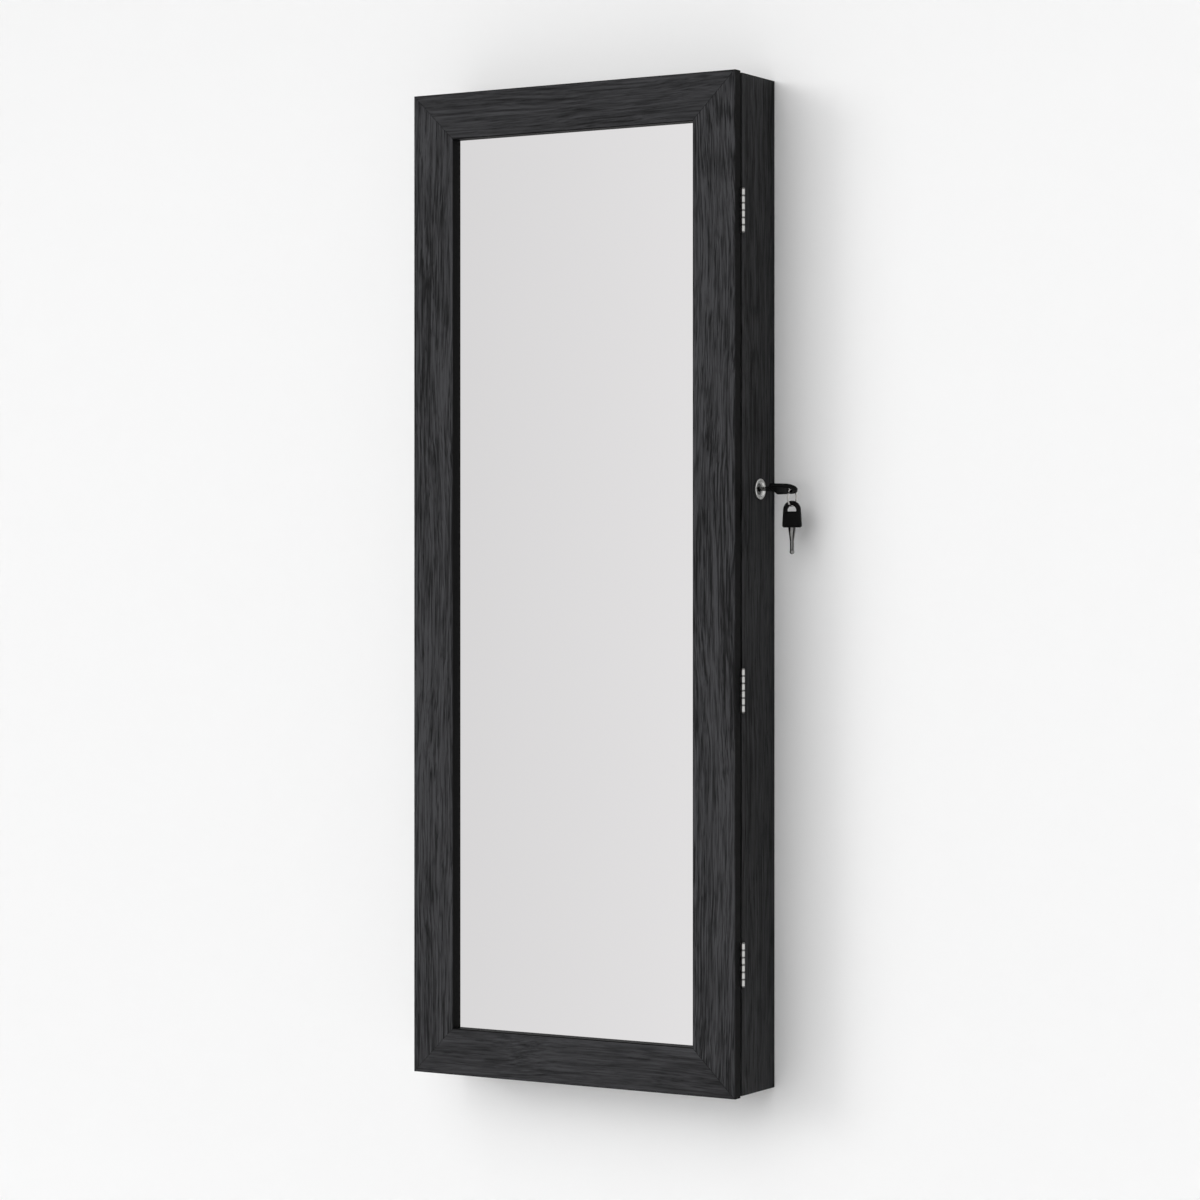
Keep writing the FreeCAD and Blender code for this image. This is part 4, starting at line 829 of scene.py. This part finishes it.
# ---- Hinges ----------------------------------------------------------------
# Three satin-nickel butt hinges: two leaves with rolled knuckles, a headed pin
# and countersunk cross-head screws in each.
KNUCKLE_EASE = 0.0005
PIN_EDGE = 0.0002
KNUCKLES = 6
JOINT_WIDTH = 0.17          # darkened share of a knuckle's length
JOINT_CORE = 0.3            # share of that width that is darkest
BARREL_INNER = 0.0048       # across the leaf, where the barrel begins, from its outer edge
BARREL_OUTER = 0.0042
SCREW_SIDES = 36
SCREW_HEAD = 0.0023
SCREW_HEAD_EDGE = 0.0002
SCREW_SHANK = 0.00125
SCREW_LENGTH = 0.009
SCREW_POINT = 0.85          # share of the length above the point
RECESS_HALF = 0.00155
RECESS_ARM = 0.00033
RECESS_DEPTH = 0.0009
RECESS_OVER = 0.0005        # the cutter stands out of the head by this much
HINGE_DARK = (0.42, 0.415, 0.405, 1)
HINGE_LIGHT = (0.66, 0.655, 0.64, 1)
# colour of the painted shade in the joints between the knuckles
JOINT_SHADE = (0.020, 0.019, 0.018, 1)
screw_zinc = metal("screw_zinc", (0.36, 0.355, 0.34, 1), (0.56, 0.55, 0.53, 1), 0.33)


def cross_head_screw():
    """Countersunk screw along +Z, its head's face at the origin, with a cross recess."""
    work = bmesh.new()
    lathe(work, [(0, 0), (SCREW_HEAD - SCREW_HEAD_EDGE, 0), (SCREW_HEAD, SCREW_HEAD_EDGE / 2),
                 (SCREW_SHANK, SCREW_HEAD - SCREW_SHANK), (SCREW_SHANK, SCREW_LENGTH * SCREW_POINT),
                 (0, SCREW_LENGTH)], (0, 0, 0), (0, 0, 1), SCREW_SIDES)
    blank = added("screw_blank", plain_mesh(work, "screw_blank"))
    cutters = []
    for x, y in ((RECESS_HALF, RECESS_ARM), (RECESS_ARM, RECESS_HALF)):
        cross = bmesh.new()
        corners = ((-x, -y), (x, -y), (x, y), (-x, y))
        top = [cross.verts.new((a, b, -RECESS_OVER)) for a, b in corners]
        foot = [cross.verts.new((a / 2, b / 2, RECESS_DEPTH)) for a, b in corners]
        cross.faces.new(top)
        cross.faces.new(foot)
        for i in range(4):
            cross.faces.new((top[i], top[(i + 1) % 4], foot[(i + 1) % 4], foot[i]))
        cutter = added("screw_cross", plain_mesh(cross, "screw_cross"))
        cutters.append(cutter)
        carve = blank.modifiers.new("carve", "BOOLEAN")
        carve.operation = "DIFFERENCE"
        carve.object = cutter
    carved = bpy.data.meshes.new_from_object(blank.evaluated_get(bpy.context.evaluated_depsgraph_get()))
    for helper in [blank] + cutters:
        bpy.data.objects.remove(helper)
    return carved


def cross_head_screws(name, node, body, outward, turned):
    """A node's screws, their heads facing along Y, outward 1 or -1, turned about their own length."""
    places = [((low.x + high.x) / 2, (high if outward > 0 else low).y, (low.z + high.z) / 2)
              for low, high in islands(node)]
    repeated(name, screw, places, body, [node], "screw_steel", screw_zinc, (outward * math.pi / 2, turned, 0))


def shaded_hinge(place):
    """Satin nickel, with painted shade in the joints between the knuckles."""
    material = metal("hinge_nickel_" + place, HINGE_DARK, HINGE_LIGHT, 0.30, (1, 1, 6), 700.0)
    shader = material.node_tree.nodes["Principled BSDF"]
    flow = Flow(material.node_tree)
    plated = Flow(material.node_tree, shader.inputs["Base Color"].links[0].from_socket)
    foot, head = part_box("hinge_body_leaf_" + place)
    pitch = (head.z - foot.z) / KNUCKLES
    step = flow.math("FRACT", (flow.place().along("Z") - foot.z) * (1 / pitch) + 0.5, 0.0)
    off_joint = flow.math("ABSOLUTE", step - 0.5, 0.0)
    joint = off_joint.stretched(JOINT_WIDTH, JOINT_CORE * JOINT_WIDTH)
    barrel = flow.place().along("X").stretched(head.x - BARREL_INNER, head.x - BARREL_OUTER)
    # Painted shade: the barrel is darkened at each joint between the knuckles.
    joint_shade = (joint * barrel * (0.55 + 0.7 * flow.place().noise(420.0, 2.0))).clamped()
    flow.feed(shader.inputs["Base Color"], joint_shade.blend(plated, JOINT_SHADE))
    return material


screw = cross_head_screw()
for place in ("top", "middle", "bottom"):
    shaded_nickel = shaded_hinge(place)
    eased("hinge_body_leaf_" + place, "cabinet", "hinge_nickel", KNUCKLE_EASE, shaded_nickel)
    eased("hinge_door_leaf_" + place, "door", "hinge_nickel", KNUCKLE_EASE, shaded_nickel)
eased("hinge_pins", "cabinet", "hinge_nickel", PIN_EDGE,
      metal("hinge_pin_steel", (0.16, 0.157, 0.15, 1), (0.30, 0.295, 0.285, 1), 0.34))
cross_head_screws("hinge_screws_in_box", "hinge_screws_body", "cabinet", outward=-1, turned=0.4)
cross_head_screws("hinge_screws_in_door", "hinge_screws_door", "door", outward=1, turned=0.9)


# ---- Lock ------------------------------------------------------------------
# A nickel-plated cam lock through the right side board: flanged barrel with a
# rounded, dished face, turning plug with a keyway, ring nut and hooked cam.
LOCK_SIDES = 72
PLUG_ROOM = 0.00005
BARREL_RADIUS = 0.009
BARREL_ROUND = 0.0004
FLANGE_ROUND = 0.0002
RIM_ROUND = 0.0010
RIM_WIDTH = 0.0022
DISH_SLOPE = 0.0008         # from the rim's inner edge down to the dished face
DISH_RISE = 0.0001
NUT_EDGE = 0.0004
PLUG_EDGE = 0.0002
SHEET_EDGE = 0.0003
CAM_SCREW_EDGE = 0.0004
lock_nickel = metal("lock_nickel", (0.44, 0.44, 0.43, 1), (0.66, 0.66, 0.65, 1), 0.20)
# The plug's nickel is coloured far darker than the barrel's: painted shade of the recess round the keyway.
shaded_plug_nickel = metal("shaded_plug_nickel", (0.075, 0.075, 0.073, 1), (0.19, 0.19, 0.187, 1), 0.26)
zinc_sheet = metal("zinc_sheet", (0.36, 0.36, 0.36, 1), (0.58, 0.58, 0.575, 1), 0.38)
housing_low, housing_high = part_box("lock_housing")
plug_low, plug_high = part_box("lock_cylinder")
lock_y = (housing_low.y + housing_high.y) / 2
lock_z = (housing_low.z + housing_high.z) / 2
flange = (housing_high.z - housing_low.z) / 2
plug = (plug_high.z - plug_low.z) / 2 + PLUG_ROOM
seat = BOARD_HIGH.x - housing_low.x
face = plug_high.x - housing_low.x
rim = housing_high.x - housing_low.x
housing = bmesh.new()
lathe(housing, rounded([(plug, 0, FLANGE_ROUND), (BARREL_RADIUS, 0, BARREL_ROUND), (BARREL_RADIUS, seat, 0),
                        (flange, seat, FLANGE_ROUND), (flange, rim, RIM_ROUND),
                        (flange - RIM_WIDTH, rim, RIM_ROUND),
                        (flange - RIM_WIDTH - DISH_SLOPE, face + DISH_RISE, BARREL_ROUND),
                        (plug, face, FLANGE_ROUND)], steps=5),
      (housing_low.x, lock_y, lock_z), (1, 0, 0), LOCK_SIDES, closed=True)
finished(housing, "lock_housing_turned", "cabinet", ["lock_housing"], "lock_nickel", lock_nickel)
eased("lock_nut", "cabinet", "lock_nickel", NUT_EDGE, lock_nickel)
eased("lock_cylinder", "lock", "lock_nickel", PLUG_EDGE, shaded_plug_nickel)
eased("lock_cam", "lock", "zinc_sheet", SHEET_EDGE, zinc_sheet)
eased("cam_screw", "lock", "screw_steel", CAM_SCREW_EDGE, screw_zinc)


# ---- Keeper and strike plate -----------------------------------------------
# Zinc-plated sheet on the back of the door: a bent keeper for the cam's finger
# and a flat plate for the magnet, with three screws.
eased("keeper", "door", "zinc_sheet", SHEET_EDGE, zinc_sheet)
eased("strike_plate", "door", "zinc_sheet", SHEET_EDGE, zinc_sheet)
cross_head_screws("plate_screws_cross", "plate_screws", "door", outward=1, turned=0.2)


# ---- Keys ------------------------------------------------------------------
# Two keys with black moulded bows and milled steel blades. One is in the lock,
# the other hangs from it on the ring.
BOW_SHOULDER = 0.0190       # where the arched end begins, from the bow's base
BOW_SHOULDER_HALF = 0.00995
BOW_CORNER = 0.0022
BOW_ROUND = 0.0009
BOW_BORDER = 0.0017
HOLE_BASE = 0.0169
HOLE_SPRING = 0.0190
HOLE_HALF = 0.0057
HOLE_BRIDGE = 0.0050
HOLE_BORDER = 0.0009
HOLE_ROUND = 0.0003
BORDER_RISE = 0.00035
BOW_POINTS = 160
CORNER_STEPS = 6
CROWN_STEPS = 16
GROUND_EDGE = 0.0016
GROUND_SHARE = 0.8          # the ground edge's widest share of the half width
GROUND_LEVEL = 0.25         # share of the half thickness left at the edge
FLUTE = (0.05, 0.20, 0.62, 0.77)    # its lips and floor, as shares of the half width
FLUTE_DEPTH = 0.0002
TIP_SIDES = 32
BALL_STEPS = 16
bow_plastic = plastic("bow_plastic", (0.0016, 0.0016, 0.0016, 1), (0.0032, 0.0032, 0.0032, 1),
                      roughness=0.34, grain=2600.0, depth=0.00003, gloss=0.07)
key_steel = metal("key_steel", (0.10, 0.099, 0.097, 1), (0.29, 0.287, 0.282, 1), 0.17, (1, 1, 1), 1400.0)


def key_axes(bow_node, along):
    """Across, thickness and length directions of a key, from the flat of its bow."""
    flat = max(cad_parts[bow_node].data.polygons, key=lambda face: face.area).normal.normalized()
    return along.cross(flat).normalized(), flat, along


def spread(node, way):
    """Middle and half size of a node along a direction."""
    places = [vert.co.dot(way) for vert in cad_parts[node].data.vertices]
    return (max(places) + min(places)) / 2, (max(places) - min(places)) / 2


def arched(base, half, spring, spring_half, crown, corner):
    """Outline with a flat base, rounded corners and an arched end, as (along, across)."""
    side = [(base, 0)]
    for step in range(CORNER_STEPS + 1):
        turn = math.pi / 2 * step / CORNER_STEPS
        side.append((base + corner * (1 - math.cos(turn)), half - corner * (1 - math.sin(turn))))
    rise = crown - spring
    radius = (spring_half ** 2 + rise ** 2) / (2 * rise)
    opening = math.atan2(spring_half, radius - rise)
    for step in range(CROWN_STEPS + 1):
        turn = opening * (1 - step / CROWN_STEPS)
        side.append((crown - radius + radius * math.cos(turn), radius * math.sin(turn)))
    return [Vector(point) for point in side + [(x, -y) for x, y in reversed(side[1:-1])]]


def reach(outline, centre, way):
    """Distance from a point inside an outline to it, one way."""
    for start, end in zip(outline, outline[1:] + outline[:1]):
        hit = geometry.intersect_line_line_2d(centre, centre + way, start, end)
        if hit is not None:
            return (hit - centre).length


def moulded_bow(node, body, along):
    """Arched bow with rounded edges, its flats sunk inside a border, and a bordered hole."""
    across, flat, along = key_axes(node, along)
    middle, half = spread(node, across)
    level, thick = spread(node, flat)
    centre_along, half_long = spread(node, along)
    length = 2 * half_long

    def outer(inset):
        return arched(inset, half - inset, BOW_SHOULDER, BOW_SHOULDER_HALF - inset, length - inset,
                      max(BOW_CORNER - inset, BOW_ROUND / 2))

    def hole(outset):
        return arched(HOLE_BASE - outset, HOLE_HALF + outset, HOLE_SPRING, HOLE_HALF + outset,
                      length - HOLE_BRIDGE + outset, HOLE_ROUND)

    front = [(outer(0), 0), (outer(0), thick - BOW_ROUND)]
    for turn in (math.pi / 6, math.pi / 3, math.pi / 2):
        front.append((outer(BOW_ROUND * (1 - math.cos(turn))), thick - BOW_ROUND * (1 - math.sin(turn))))
    front += [(outer(BOW_BORDER), thick), (outer(BOW_BORDER + BORDER_RISE), thick - BORDER_RISE),
              (hole(HOLE_BORDER + BORDER_RISE), thick - BORDER_RISE), (hole(HOLE_BORDER), thick),
              (hole(HOLE_ROUND), thick), (hole(0), thick - HOLE_ROUND), (hole(0), 0)]
    layers = front + [(outline, -height) for outline, height in reversed(front[1:-1])]
    core = Vector(((HOLE_BASE + length - HOLE_BRIDGE) / 2, 0))
    ways = [Vector((math.cos(math.tau * i / BOW_POINTS), math.sin(math.tau * i / BOW_POINTS))) * length * 2
            for i in range(BOW_POINTS)]
    work = bmesh.new()
    rings = []
    for outline, height in layers:
        ring = []
        for way in ways:
            flat_point = core + way.normalized() * reach(outline, core, way)
            ring.append(work.verts.new(along * (centre_along - half_long + flat_point.x)
                                       + across * (middle + flat_point.y) + flat * (level + height)))
        rings.append(ring)
    for one, two in zip(rings, rings[1:] + rings[:1]):
        for i in range(BOW_POINTS):
            j = (i + 1) % BOW_POINTS
            work.faces.new((one[i], one[j], two[j], two[i]))
    finished(work, node + "_moulded", body, [node], "key_plastic", bow_plastic)


def ground_blade(node, body, bow_node, along):
    """Steel blade: one ground edge and one flute on each side, a long taper and a round tip."""
    across, flat, along = key_axes(bow_node, along)
    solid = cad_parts[node].data
    middle, _ = spread(node, across)
    level, ball = spread(node, flat)
    centre_along, half_long = spread(node, along)
    widest = max(solid.polygons, key=lambda face: face.area)
    thick = abs(solid.vertices[widest.vertices[0]].co.dot(flat) - level)
    outline = {}
    for vert in solid.vertices:
        if abs(abs(vert.co.dot(flat) - level) - thick) < WELD:
            wide = abs(vert.co.dot(across) - middle)
            height = round(vert.co.dot(along), 5)
            outline[height] = max(wide, outline.get(height, 0))
    tip = centre_along - half_long + ball
    work = bmesh.new()
    rings = []
    for height in sorted((height for height in outline if height > tip + ball), reverse=True) + [tip]:
        wide = outline.get(height, wide if rings else 0)
        floor = thick - FLUTE_DEPTH
        half = [(-wide, GROUND_LEVEL * thick), (-wide + min(GROUND_EDGE, wide * GROUND_SHARE), thick)]
        half += [(share * wide, rise) for share, rise in zip(FLUTE, (thick, floor, floor, thick))]
        half.append((wide, thick))
        section = half + [(-u, -v) for u, v in half]
        rings.append([work.verts.new(across * (middle + u) + flat * (level + v) + along * height)
                      for u, v in section])
    for one, two in zip(rings, rings[1:]):
        for i in range(len(one)):
            j = (i + 1) % len(one)
            work.faces.new((one[i], one[j], two[j], two[i]))
    work.faces.new(rings[0])
    work.faces.new(rings[-1])
    turns = [math.pi * step / BALL_STEPS for step in range(1, BALL_STEPS)]
    profile = [(ball * math.sin(turn), -ball * math.cos(turn)) for turn in turns]
    lathe(work, [(0, -ball)] + profile + [(0, ball)], across * middle + flat * level + along * tip,
          along, TIP_SIDES)
    finished(work, node + "_ground", body, [node], "key_steel", key_steel)


for prefix, body, along in (("", "key", Vector((1, 0, 0))), ("spare_", "spare", Vector((0, 0, 1)))):
    moulded_bow(prefix + "key_bow", body, along)
    ground_blade(prefix + "key_blade", body, prefix + "key_bow", along)


# ---- Split ring ------------------------------------------------------------
# Two turns of nickel-plated spring wire, side by side, with a short jog where
# one turn passes to the other.
RING_STATIONS = 200
RING_SIDES = 14
JOG_SHARE = 0.045
JOG_TURN = 0.4
WIRE_HALF_TALL = 0.0005
WIRE_FIT = 0.94             # keeps the two turns of wire apart
ring_nickel = metal("ring_nickel", (0.42, 0.41, 0.40, 1), (0.66, 0.65, 0.63, 1), 0.2)
ring_low, ring_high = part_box("split_ring")
ring_centre = (ring_low + ring_high) / 2
wire_wide = (ring_high.x - ring_low.x) / 4
ring_radius = (ring_high.z - ring_low.z) / 2 - WIRE_HALF_TALL
coil = []
for station in range(RING_STATIONS + 1):
    share = station / RING_STATIONS
    turn = 2 * math.tau * share - JOG_TURN
    crossing = min(1.0, max(0.0, (share - 0.5) / JOG_SHARE + 0.5))
    beside = (crossing * crossing * (3 - 2 * crossing) * 2 - 1) * wire_wide
    coil.append(ring_centre + Vector((beside, ring_radius * math.sin(turn), ring_radius * math.cos(turn))))
wire = bmesh.new()
tube(wire, coil, [(wire_wide * WIRE_FIT, WIRE_HALF_TALL)] * len(coil), RING_SIDES)
finished(wire, "split_ring_wound", "ring", ["split_ring"], "ring_wire", ring_nickel)
